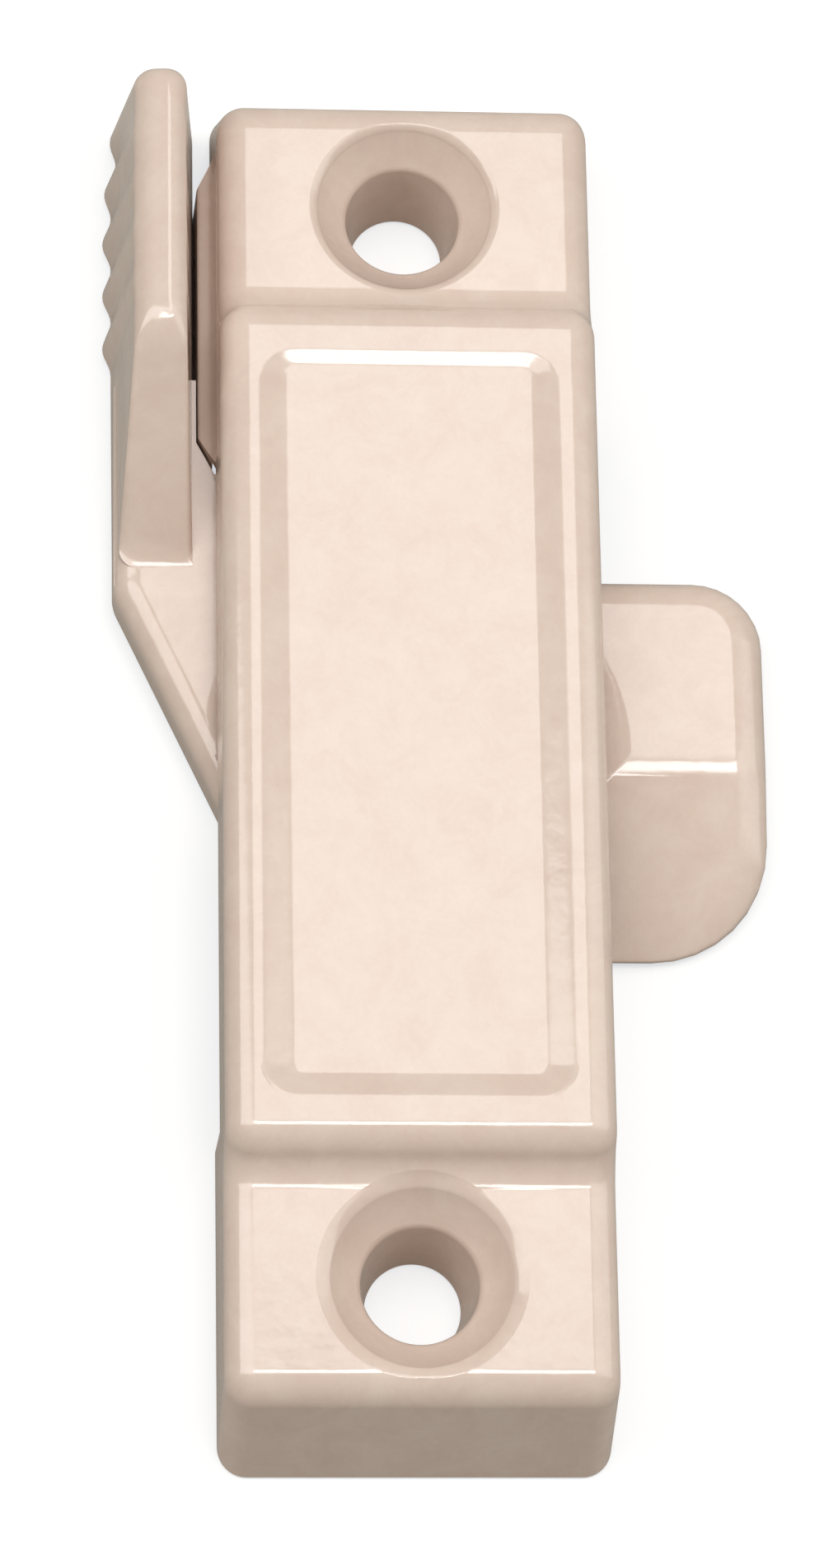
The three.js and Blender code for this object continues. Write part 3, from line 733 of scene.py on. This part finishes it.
WING_LOW = PADDLE_FOOT - 1.7
WING_FOOT = -5.0
WING_EDGE = math.radians(65)
WING_SHOULDER = -CAVITY_SIDE + 0.3
STOP_GAP = 0.07
LUG_SIDE_FROM = 9.0
LUG_SIDE_WITHIN = PADDLE_OUTER + 0.5
RELIEF_Z = PLATE_Z - 0.75
HOOK_DISH = BODY_SIDE + 1.2
WING_DISH = BODY_SIDE + 0.2
DISH_SIDES = 160
# Steps outwards from the dish's radius and upwards from its floor.
DISH_PROFILE = [(-3.0, 0), (-2.3, 0.06), (-0.9, 0.42), (-0.3, 0.6), (0.1, 0.69), (0.4, 0.735), (1.0, 0.79)]


def dish(radius):
    """Shallow dish whose rim runs out softly into the plate."""
    return add_turned("dish", [(radius + out, RELIEF_Z + up) for out, up in DISH_PROFILE], sides=DISH_SIDES)


def ramp_height(y):
    """Height of the hook's front along Y: level, a short round crease, then straight down the ramp."""
    slope = RAMP_DROP / (RAMP_TOP - HOOK_BOTTOM)
    down = RAMP_TOP - y
    if down <= -RAMP_CREASE:
        return PLATE_Z
    if down >= RAMP_CREASE:
        return PLATE_Z - slope * down
    return PLATE_Z - slope * (down + RAMP_CREASE) ** 2 / (4 * RAMP_CREASE)


def on_ramp(point):
    share = (ramp_height(point.y) - PLATE_BACK) / (PLATE_Z - PLATE_BACK)
    return Vector((point.x, point.y, PLATE_BACK + (point.z - PLATE_BACK) * share))


def hook_plate():
    plate = add_plate("lever_casting", [
        (-ROOT_OVERLAP, -ROOT_HALF, 0), (HOOK_HEEL, HOOK_BOTTOM, PLATE_CORNER),
        (HOOK_REACH, HOOK_BOTTOM, HOOK_LOWER_CORNER), (HOOK_REACH, HOOK_TOP, HOOK_UPPER_CORNER),
        (CAVITY_SIDE, HOOK_TOP, PLATE_CORNER), (-ROOT_OVERLAP, ROOT_HALF, 0)], PLATE_BACK, PLATE_Z)
    round_edges(plate, PLATE_EDGE, PLATE_EDGE_STEPS, lambda e: level_edge(e, PLATE_Z) and middle(e).x > 0)
    for i in range(-CREASE_STEPS, CREASE_STEPS + 1):
        slice_at(plate, (0, RAMP_TOP + RAMP_CREASE * i / CREASE_STEPS, 0), (0, 1, 0))
    move_verts(plate, on_ramp)
    combine(plate, dish(HOOK_DISH), "DIFFERENCE")
    return plate


def free_wing_edge(edge):
    """True for a front edge of the wing that doesn't lie beside the lug."""
    beside_lug = middle(edge).y > LUG_SIDE_FROM and middle(edge).x > LUG_SIDE_WITHIN
    return level_edge(edge, PLATE_Z) and middle(edge).x < 0 and not beside_lug


def wing_plate():
    upper = LUG_FOOT - STOP_GAP / math.cos(LUG_ANGLE)
    foot = PADDLE_OUTER + (WING_LOW - WING_FOOT) / math.tan(WING_EDGE)
    plate = add_plate("wing", [
        (ROOT_OVERLAP, ROOT_HALF, 0), (WING_SHOULDER, upper, PLATE_CORNER), (-BODY_SIDE, upper, 0),
        (PADDLE_INNER, upper - LUG_FLANK * (BODY_SIDE + PADDLE_INNER), 0),
        (PADDLE_INNER, PADDLE_RIM_START, 0), (PADDLE_OUTER, PADDLE_RIM_START, 0),
        (PADDLE_OUTER, WING_LOW, PLATE_CORNER), (foot, WING_FOOT, PLATE_CORNER),
        (ROOT_OVERLAP, -ROOT_HALF, 0)], PLATE_BACK, PLATE_Z)
    round_edges(plate, WING_ROUND, PLATE_EDGE_STEPS, free_wing_edge)
    combine(plate, dish(WING_DISH), "DIFFERENCE")
    return plate


lever = hook_plate()
combine(lever, wing_plate(), "UNION")
hub = add_turned("hub", [
    (HUB_RADIUS, PLATE_BACK), (HUB_RADIUS, HUB_Z - HUB_CHAMFER), (HUB_RADIUS - HUB_CHAMFER, HUB_Z)])
combine(lever, hub, "UNION")
print("hook, wing and hub:", len(lever.data.polygons), "faces")

# %% [markdown]
# The paddle stands on the wing like a blade. Its sides lean together towards the front, its lower end is a
# slope that flares out at the foot, and both faces carry finger ridges that die away towards the front. A
# shape like this has a different outline at every height, so one function draws the outline at a height:
# up the inner face, around the tip, down the outer face and around the foot.

# %% Lever, outline of the paddle
PADDLE_Z = lever_high.z
PADDLE_END = 34.7
PADDLE_END_LEAN = lever_high.y - PADDLE_END
PADDLE_BASE = PADDLE_INNER - PADDLE_OUTER
PADDLE_RIM = 2.55
PADDLE_LEAN = 0.75
PADDLE_CORNER = 1.05
TIP_SHARE = 0.45
FILLET = 0.7
FILLET_REACH = 0.6
FOOT_CORNER = 1.0
FOOT_CORNER_END = 0.3
FOOT_CORNER_RISE = 3.0
SLOPE = (PADDLE_RIM_START - PADDLE_FOOT) / (PADDLE_Z - PLATE_Z)
GRIP_START = PADDLE_RIM_START + 1.5
GRIP_RIDGES = 4.5
GRIP_SLICES = 12
GRIP_RISE = 0.29
GRIP_WAVE = 0.22
GRIP_BACK = 0.12
GRIP_BACK_FROM = 0.32
GRIP_BACK_GROWTH = 0.2
GRIP_ENDING = 0.4
GRIP_ENDING_FROM = 0.7


def paddle_low(z):
    rise = max(z - PLATE_Z, 0)
    flare = max(1 - math.sqrt(rise / FILLET), 0)
    return PADDLE_FOOT + SLOPE * rise - FILLET_REACH * flare ** 2


def paddle_sides(z):
    """X of the inner and the outer face at a height, without ridges, and the share of the height."""
    share = (z - PLATE_BACK) / (PADDLE_Z - PLATE_BACK)
    inner = PADDLE_INNER - PADDLE_LEAN * share
    return inner, inner - PADDLE_BASE * (1 - share) - PADDLE_RIM * share, share


def paddle_outline(z, inset):
    inner, outer, share = paddle_sides(z)
    inner, outer = inner - inset, outer + inset
    fade = 1 - share
    back_fade = fade * clamp((share - GRIP_BACK_FROM) / GRIP_BACK_GROWTH)
    low = paddle_low(z) + inset
    high = PADDLE_END + PADDLE_END_LEAN * fade - inset
    count = round(GRIP_RIDGES * GRIP_SLICES)
    inner_side, outer_side = [], []
    for i in range(count + 1):
        y = GRIP_START + (high - PADDLE_CORNER - GRIP_START) * i / count
        wave = -math.cos(2 * math.pi * i / GRIP_SLICES)
        ending = GRIP_ENDING * max(i / count - GRIP_ENDING_FROM, 0) / (1 - GRIP_ENDING_FROM)
        inner_side.append((inner - back_fade * GRIP_BACK * (1 - wave), y))
        outer_side.append((outer + fade * (ending - GRIP_RISE - GRIP_WAVE * wave), y))
    x0, x1 = outer_side[-1][0], inner_side[-1][0]
    radius = min(PADDLE_CORNER, TIP_SHARE * (x1 - x0))
    tip_y = high - radius
    tip = quarter_arc(x1 - radius, tip_y, radius, 0) + quarter_arc(x0 + radius, tip_y, radius, 90)
    foot_share = clamp(1 - (z - PLATE_Z) / FOOT_CORNER_RISE)
    corner = FOOT_CORNER_END + (FOOT_CORNER - FOOT_CORNER_END) * foot_share
    foot = quarter_arc(outer + corner, low + corner, corner, 180)
    return [(inner, low), *inner_side, *tip, *reversed(outer_side), *foot]


outline = paddle_outline(PLATE_Z, 0)
print("paddle outline:", len(outline), "points")

# %% [markdown]
# With its outlines known, the paddle is built up ring by ring: each ring is an extrude of the one below,
# and its points are then moved to the outline at that height. The last rings draw in along a quarter circle
# and make the rounded front, which is tilted a little towards its outer edge. Where the paddle's outer face
# grows out of the wing's rounding, a small stack of outlines fills the gap in a soft curve. Last come the
# holes: the bore and a counterbore for the pivot, and two dimples in the hub, where the click spring drops
# in at each end of the travel.

# %% Lever, finger paddle and holes
PADDLE_ROUND = 1.05
RIM_TILT = 0.13
ROUND_STEPS = 8
FILLET_STEPS = 6
SLOPE_EDGE = 0.3
SLOPE_EDGE_STEPS = 3
SLOPE_FACING = -0.3
SLOPE_EDGE_ABOVE = PLATE_Z + 0.01
SLOPE_EDGE_WITHIN = PADDLE_INNER - 1.6
ACROSS_BELOW = 0.5
BLEND_START = WING_LOW + 0.5
BLEND_LENGTH = 2.3
BLEND_END = BLEND_START + BLEND_LENGTH
BLEND_INSIDE = PADDLE_OUTER + WING_ROUND + 0.6
BLEND_SINK = 0.02
BLEND_STEPS = 12
BLEND_SOFT = 0.5
COUNTERBORE_RADIUS = 4.9
COUNTERBORE_Z = 1.8
BORE_RADIUS = 2.15
BORE_TOP = 6.0
CLICK_RADIUS = 5.85
DIMPLE_SIDES = 32
DIMPLE_PROFILE = [(0.12, 4.41), (0.3, 4.44), (0.46, 4.5), (0.63, 4.6), (0.75, 4.7)]


def quarter_turns():
    """Sine and cosine along a quarter circle, in equal steps."""
    angles = [math.radians(90 * i / ROUND_STEPS) for i in range(ROUND_STEPS + 1)]
    return [(math.sin(angle), math.cos(angle)) for angle in angles]


def slope_side(edge):
    """True for an edge along the inner side of the paddle's slope."""
    slopes = [face.normal.y < SLOPE_FACING for face in edge.link_faces]
    if all(slopes) or not any(slopes) or abs(along(edge).x) >= ACROSS_BELOW:
        return False
    return middle(edge).z > SLOPE_EDGE_ABOVE and middle(edge).x > SLOPE_EDGE_WITHIN


def paddle_blade():
    fillet = [PLATE_Z + FILLET * (i / FILLET_STEPS) ** 2 for i in range(FILLET_STEPS + 1)]
    rings = [(paddle_outline(z, 0), z) for z in (PLATE_BACK, *fillet, PLATE_Z + FOOT_CORNER_RISE)]
    for sine, cosine in quarter_turns():
        z = PADDLE_Z - PADDLE_ROUND * (1 - sine)
        rings.append((paddle_outline(z, PADDLE_ROUND * (1 - cosine)), z))
    blade = add_stack("paddle", rings)
    round_edges(blade, SLOPE_EDGE, SLOPE_EDGE_STEPS, slope_side)
    crown = max(vert.co.x for vert in blade.data.vertices if vert.co.z > PADDLE_Z - CLOSE)

    def tilted(point):
        share = max(point.z - PLATE_Z, 0) / (PADDLE_Z - PLATE_Z)
        z = point.z + RIM_TILT * (point.x - crown) * share ** 3
        return Vector((point.x, point.y, min(z, PADDLE_Z)))

    move_verts(blade, tilted)
    outwards(blade)
    return blade


def foot_blend():
    """Fills the wing's rounding where the paddle's outer face grows out of it, in a soft curve."""
    sections = []
    for sine, cosine in quarter_turns():
        z = PLATE_Z - WING_ROUND * (1 - sine)
        rounding = PADDLE_OUTER + WING_ROUND * (1 - cosine)
        face = paddle_sides(z)[1] + BLEND_SINK
        curve = []
        for i in range(BLEND_STEPS + 1):
            x = rounding + (face - rounding) * soft_step(i / BLEND_STEPS, BLEND_SOFT)
            curve.append((x, BLEND_START + BLEND_LENGTH * i / BLEND_STEPS))
        sections.append(([*curve, (BLEND_INSIDE, BLEND_END), (BLEND_INSIDE, BLEND_START)], z))
    return add_stack("foot_blend", sections)


paddle = paddle_blade()
print("paddle:", len(paddle.data.polygons), "faces")
combine(lever, paddle, "UNION")
combine(lever, foot_blend(), "UNION")
combine(lever, add_rod("counterbore", COUNTERBORE_RADIUS, -OVERCUT, COUNTERBORE_Z), "DIFFERENCE")
combine(lever, add_rod("bore", BORE_RADIUS, -OVERCUT, BORE_TOP), "DIFFERENCE")
for x, y in ((0, -CLICK_RADIUS), (-CLICK_RADIUS, 0)):
    combine(lever, add_turned("dimple", DIMPLE_PROFILE, x, y, DIMPLE_SIDES), "DIFFERENCE")
finish_piece(lever, "lever", lever_paint, "lever_paint", "lever_hook")

# %% [markdown]
# The parts of the pivot aren't painted. Turned or rolled steel shows fine rings that stretch a highlight,
# so a ring texture drives its roughness and a faint bump, and a noise makes it blotchy. Nylon is milky and
# dull: a pale, cloudy colour, a middling roughness and a fine grain are enough at this size.

# %% Steel and nylon
BLOTCH_SIZE_MM = 1.6
BLOTCH_DETAIL = 3.0
RING_SCALE = 1600
RING_DISTORTION = 3.0
RING_DETAIL = 3.0
RING_SPAN = (0.2, 0.8)
RING_DULLING = 0.12
RING_STRENGTH = 0.25
RING_DEPTH_MM = 0.008
NYLON_SHADE = (0.80, 0.79, 0.72)
NYLON_PALE = (0.87, 0.86, 0.81)
NYLON_ROUGHNESS = 0.45
CLOUD_SIZE_MM = 1.2
CLOUD_DETAIL = 4.0
GRAIN_SIZE_MM = 0.15
GRAIN_DETAIL = 2.0
GRAIN_STRENGTH = 0.2
GRAIN_DEPTH_MM = 0.01


def ringed_steel(name, colour, dark, roughness):
    """Steel with fine rings from turning or rolling, and darker blotches."""
    material, tree, shader = new_material(name)
    coordinates = tree.nodes.new("ShaderNodeTexCoord")
    blotch = add_noise(tree, coordinates, BLOTCH_SIZE_MM, BLOTCH_DETAIL)
    tint = add_ramp(tree, blotch, NOISE_SPAN, dark, colour)
    tree.links.new(tint.outputs["Color"], shader.inputs["Base Color"])
    rings = tree.nodes.new("ShaderNodeTexWave")
    rings.wave_type = "RINGS"
    rings.rings_direction = "Z"
    rings.inputs["Scale"].default_value = RING_SCALE
    rings.inputs["Distortion"].default_value = RING_DISTORTION
    rings.inputs["Detail"].default_value = RING_DETAIL
    tree.links.new(coordinates.outputs["Object"], rings.inputs["Vector"])
    sheen = add_ramp(tree, rings, RING_SPAN, (roughness,) * 3, (roughness + RING_DULLING,) * 3)
    tree.links.new(sheen.outputs["Color"], shader.inputs["Roughness"])
    bump = add_bump(tree, rings, RING_STRENGTH, RING_DEPTH_MM)
    tree.links.new(bump.outputs["Normal"], shader.inputs["Normal"])
    shader.inputs["Metallic"].default_value = 1.0
    return material


def milky_nylon(name):
    material, tree, shader = new_material(name)
    coordinates = tree.nodes.new("ShaderNodeTexCoord")
    cloud = add_noise(tree, coordinates, CLOUD_SIZE_MM, CLOUD_DETAIL)
    tint = add_ramp(tree, cloud, NOISE_SPAN, NYLON_SHADE, NYLON_PALE)
    tree.links.new(tint.outputs["Color"], shader.inputs["Base Color"])
    grain = add_noise(tree, coordinates, GRAIN_SIZE_MM, GRAIN_DETAIL)
    bump = add_bump(tree, grain, GRAIN_STRENGTH, GRAIN_DEPTH_MM)
    tree.links.new(bump.outputs["Normal"], shader.inputs["Normal"])
    shader.inputs["Roughness"].default_value = NYLON_ROUGHNESS
    return material


rivet_steel = ringed_steel(
    "rivet_steel", colour=(0.56, 0.56, 0.57), dark=(0.47, 0.47, 0.49), roughness=0.28)
spring_steel = ringed_steel(
    "spring_steel", colour=(0.30, 0.31, 0.33), dark=(0.23, 0.24, 0.27), roughness=0.24)
nylon = milky_nylon("nylon")
print("bare materials:", rivet_steel.name, spring_steel.name, nylon.name)

# %% [markdown]
# Behind the lever the pivot is a small stack: a rivet with a broad head, a flat steel washer under it, a
# waved spring washer that takes up the play, and a nylon washer between the hub and the housing. The rivet
# is turned as on a lathe, ring by ring, and the dimple in its head is left by the riveting punch. The three
# washers share one function, and the spring washer's points are then lifted and lowered in three waves.

# %% Pivot stack
RIVET_PROFILE = [
    (0.9, 0.3), (1.25, 0.16), (1.6, 0.11), (3.0, 0.11), (3.2, 0.16), (3.33, 0.27), (3.4, 0.42), (3.4, 0.65),
    (2.0, 0.65), (2.0, 6.45), (1.5, 6.95)]
WASHER_BORE = 2.15
WASHER_RADIUS = 4.5
THIN_EDGE_STEPS = 2
WAVE_COUNT = 3
WAVE_HEIGHT = 0.2


def round_rims(piece, radius, bottom, top):
    """Breaks the edges of a thin flat piece."""
    round_edges(piece, radius, THIN_EDGE_STEPS, lambda e: level_edge(e, bottom) or level_edge(e, top))


def add_washer(name, bottom, top, edge):
    washer = add_ring(name, WASHER_BORE, WASHER_RADIUS, bottom, top)
    round_rims(washer, edge, bottom, top)
    return washer


def waved(point):
    angle = math.atan2(point.y, point.x)
    return Vector((point.x, point.y, point.z + WAVE_HEIGHT * math.cos(WAVE_COUNT * angle)))


rivet = add_turned("rivet", RIVET_PROFILE)
finish_piece(rivet, "housing", rivet_steel, "rivet_steel", "pivot_rivet")
flat_washer = add_washer("flat_washer", bottom=0.7, top=1.0, edge=0.06)
finish_piece(flat_washer, "housing", rivet_steel, "rivet_steel", "retaining_washer")
nylon_washer = add_washer("nylon_washer", bottom=4.65, top=5.05, edge=0.08)
finish_piece(nylon_washer, "housing", nylon, "nylon", "thrust_washer")
spring_washer = add_washer("spring_washer", bottom=1.25, top=1.5, edge=0.05)
move_verts(spring_washer, waved)
finish_piece(spring_washer, "housing", spring_steel, "spring_steel", "wave_washer")

# %% [markdown]
# The click of the latch comes from a leaf spring inside the housing. It is cut from spring steel strip, a
# small dome is pressed into its tip, and a rivet holds its tail. The dome drops into a dimple of the hub at
# each end of the lever's travel. The strip is a plate with rounded corners, and the dome and the rivet are
# turned, because nothing in them needs a finer tool.

# %% Click spring
LEAF_BOTTOM = 5.3
LEAF_TOP = 5.75
LEAF_TIP_Y = -4.7
LEAF_TIP_HALF = 1.45
LEAF_TIP_CORNER = 0.8
LEAF_TAIL_Y = SPRING_Y - 2
LEAF_TAIL_HALF = 2.1
LEAF_TAIL_CORNER = 1.9
LEAF_EDGE = 0.06
LEAF_CORNERS = [
    (LEAF_TIP_HALF, LEAF_TIP_Y, LEAF_TIP_CORNER), (-LEAF_TIP_HALF, LEAF_TIP_Y, LEAF_TIP_CORNER),
    (-LEAF_TAIL_HALF, SPRING_Y, 0), (-LEAF_TAIL_HALF, LEAF_TAIL_Y, LEAF_TAIL_CORNER),
    (LEAF_TAIL_HALF, LEAF_TAIL_Y, LEAF_TAIL_CORNER), (LEAF_TAIL_HALF, SPRING_Y, 0)]
DOME_PROFILE = [
    (0.15, 4.71), (0.4, 4.775), (0.6, 4.88), (0.78, 5.025), (0.91, 5.18), (0.99, 5.32), (1.05, 5.5)]
LEAF_RIVET_PROFILE = [
    (0.7, 4.55), (1.1, 4.59), (1.38, 4.7), (1.54, 4.86), (1.6, 5.02), (1.6, 5.25), (0.9, 5.25), (0.9, 6.95)]

leaf = add_plate("leaf_spring", LEAF_CORNERS, LEAF_BOTTOM, LEAF_TOP)
round_rims(leaf, LEAF_EDGE, LEAF_BOTTOM, LEAF_TOP)
combine(leaf, add_turned("dome", DOME_PROFILE, 0, -CLICK_RADIUS), "UNION")
leaf_hole = add_rod("leaf_hole", SPRING_HOLE_RADIUS, LEAF_BOTTOM - OVERCUT, LEAF_TOP + OVERCUT, SPRING_Y)
combine(leaf, leaf_hole, "DIFFERENCE")
finish_piece(leaf, "housing", spring_steel, "spring_steel", "click_spring")
leaf_rivet = add_turned("leaf_rivet", LEAF_RIVET_PROFILE, 0, SPRING_Y)
finish_piece(leaf_rivet, "housing", rivet_steel, "rivet_steel", "spring_rivet")

# %% [markdown]
# The camera looks down on the latch from a little towards its lower end, with a long lens, as one
# photographs a small thing on a table. Its place and its angles were fitted to parts of the latch that can
# be measured well: the ends of the housing, the rims of the holes and the tip of the hook.

# %% Camera
CAMERA_AT_MM = Vector((-22.790, -100.147, 286.856))
PAN = math.radians(-13.15)
TILT = math.radians(19.60)
ROLL = math.radians(12.94)
FOCAL_PIXELS = 7181
IMAGE_HEIGHT = 1904
SENSOR_MM = 36.0
CLIP_START = 0.01

deselect_all()
bpy.ops.object.camera_add()
camera = bpy.context.object
turn = Matrix.Rotation(PAN, 4, "Z") @ Matrix.Rotation(TILT, 4, "X") @ Matrix.Rotation(ROLL, 4, "Z")
camera.matrix_world = Matrix.Translation(CAMERA_AT_MM * MM) @ turn
camera.data.sensor_fit = "VERTICAL"
camera.data.sensor_height = SENSOR_MM
camera.data.lens = FOCAL_PIXELS / IMAGE_HEIGHT * SENSOR_MM
camera.data.clip_start = CLIP_START
bpy.context.scene.camera = camera
print("camera at", [round(value, 4) for value in camera.location], "lens", round(camera.data.lens, 1))

# %% [markdown]
# The latch lies on white paper. Real white paper would brighten it from below and wash out the shade along
# its sides. So the floor's material is two shaders added together: a diffuse one that sends less than half
# of the light back, and a glow that only the camera sees, because the light path node switches it off for
# every other ray.

# %% Floor
FLOOR_SIZE = 4.0
FLOOR_Z = -0.0002
PAPER_COLOUR = (0.42, 0.407, 0.378, 1)
GLOW_COLOUR = (0.94, 0.965, 1, 1)
GLOW_STRENGTH = 0.67

bpy.ops.mesh.primitive_plane_add(size=FLOOR_SIZE, location=(0, 0, FLOOR_Z))
floor = bpy.context.object
floor.name = "floor"

material, tree, shader = new_material("floor_white")
tree.nodes.remove(shader)
paper = tree.nodes.new("ShaderNodeBsdfDiffuse")
paper.inputs["Color"].default_value = PAPER_COLOUR
glow = tree.nodes.new("ShaderNodeEmission")
glow.inputs["Color"].default_value = GLOW_COLOUR
path = tree.nodes.new("ShaderNodeLightPath")
seen = tree.nodes.new("ShaderNodeMath")
seen.operation = "MULTIPLY"
seen.inputs[1].default_value = GLOW_STRENGTH
tree.links.new(path.outputs["Is Camera Ray"], seen.inputs[0])
tree.links.new(seen.outputs["Value"], glow.inputs["Strength"])
both = tree.nodes.new("ShaderNodeAddShader")
tree.links.new(paper.outputs["BSDF"], both.inputs[0])
tree.links.new(glow.outputs["Emission"], both.inputs[1])
tree.links.new(both.outputs["Shader"], tree.nodes["Material Output"].inputs["Surface"])
floor.data.materials.append(material)
print("floor:", material.name)

# %% [markdown]
# Gloss paint shows its lamps, so the lamps are placed by reflection. The panel stands where the flat front
# mirrors it into the camera and lifts every flat a little above the roundings beside it. The strip stands
# just below it: only faces that lean a few degrees downwards mirror it, which draws the white lines along
# the lower edges. Two large lamps and a weak warm room give the soft light from the sides.

# %% Lamps and world
ROOM_COLOUR = (1, 0.95, 0.8, 1)
ROOM_STRENGTH = 0.23


def add_panel(name, direction, distance, width, height, watts):
    """Area lamp that looks at the latch from a direction."""
    deselect_all()
    towards = Vector(direction).normalized()
    bpy.ops.object.light_add(type="AREA", location=towards * distance)
    lamp = bpy.context.object
    lamp.name = name
    lamp.rotation_euler = towards.to_track_quat("Z", "Y").to_euler()
    lamp.data.shape = "RECTANGLE"
    lamp.data.size = width
    lamp.data.size_y = height
    lamp.data.energy = watts


add_panel("panel", (0.089, 0.343, 0.935), distance=0.7, width=0.17, height=0.25, watts=0.47)
add_panel("strip", (0.09, -0.003, 0.996), distance=0.7, width=0.14, height=0.245, watts=1.2)
add_panel("left", (-0.5, 0.1, 0.86), distance=0.9, width=0.4, height=0.9, watts=3.9)
add_panel("right", (0.78, 0.1, 0.62), distance=0.9, width=0.5, height=1.2, watts=3.0)

world = bpy.data.worlds.new("room")
world.use_nodes = True
background = world.node_tree.nodes["Background"]
background.inputs["Color"].default_value = ROOM_COLOUR
background.inputs["Strength"].default_value = ROOM_STRENGTH
bpy.context.scene.world = world
bpy.context.scene.view_settings.view_transform = "Standard"
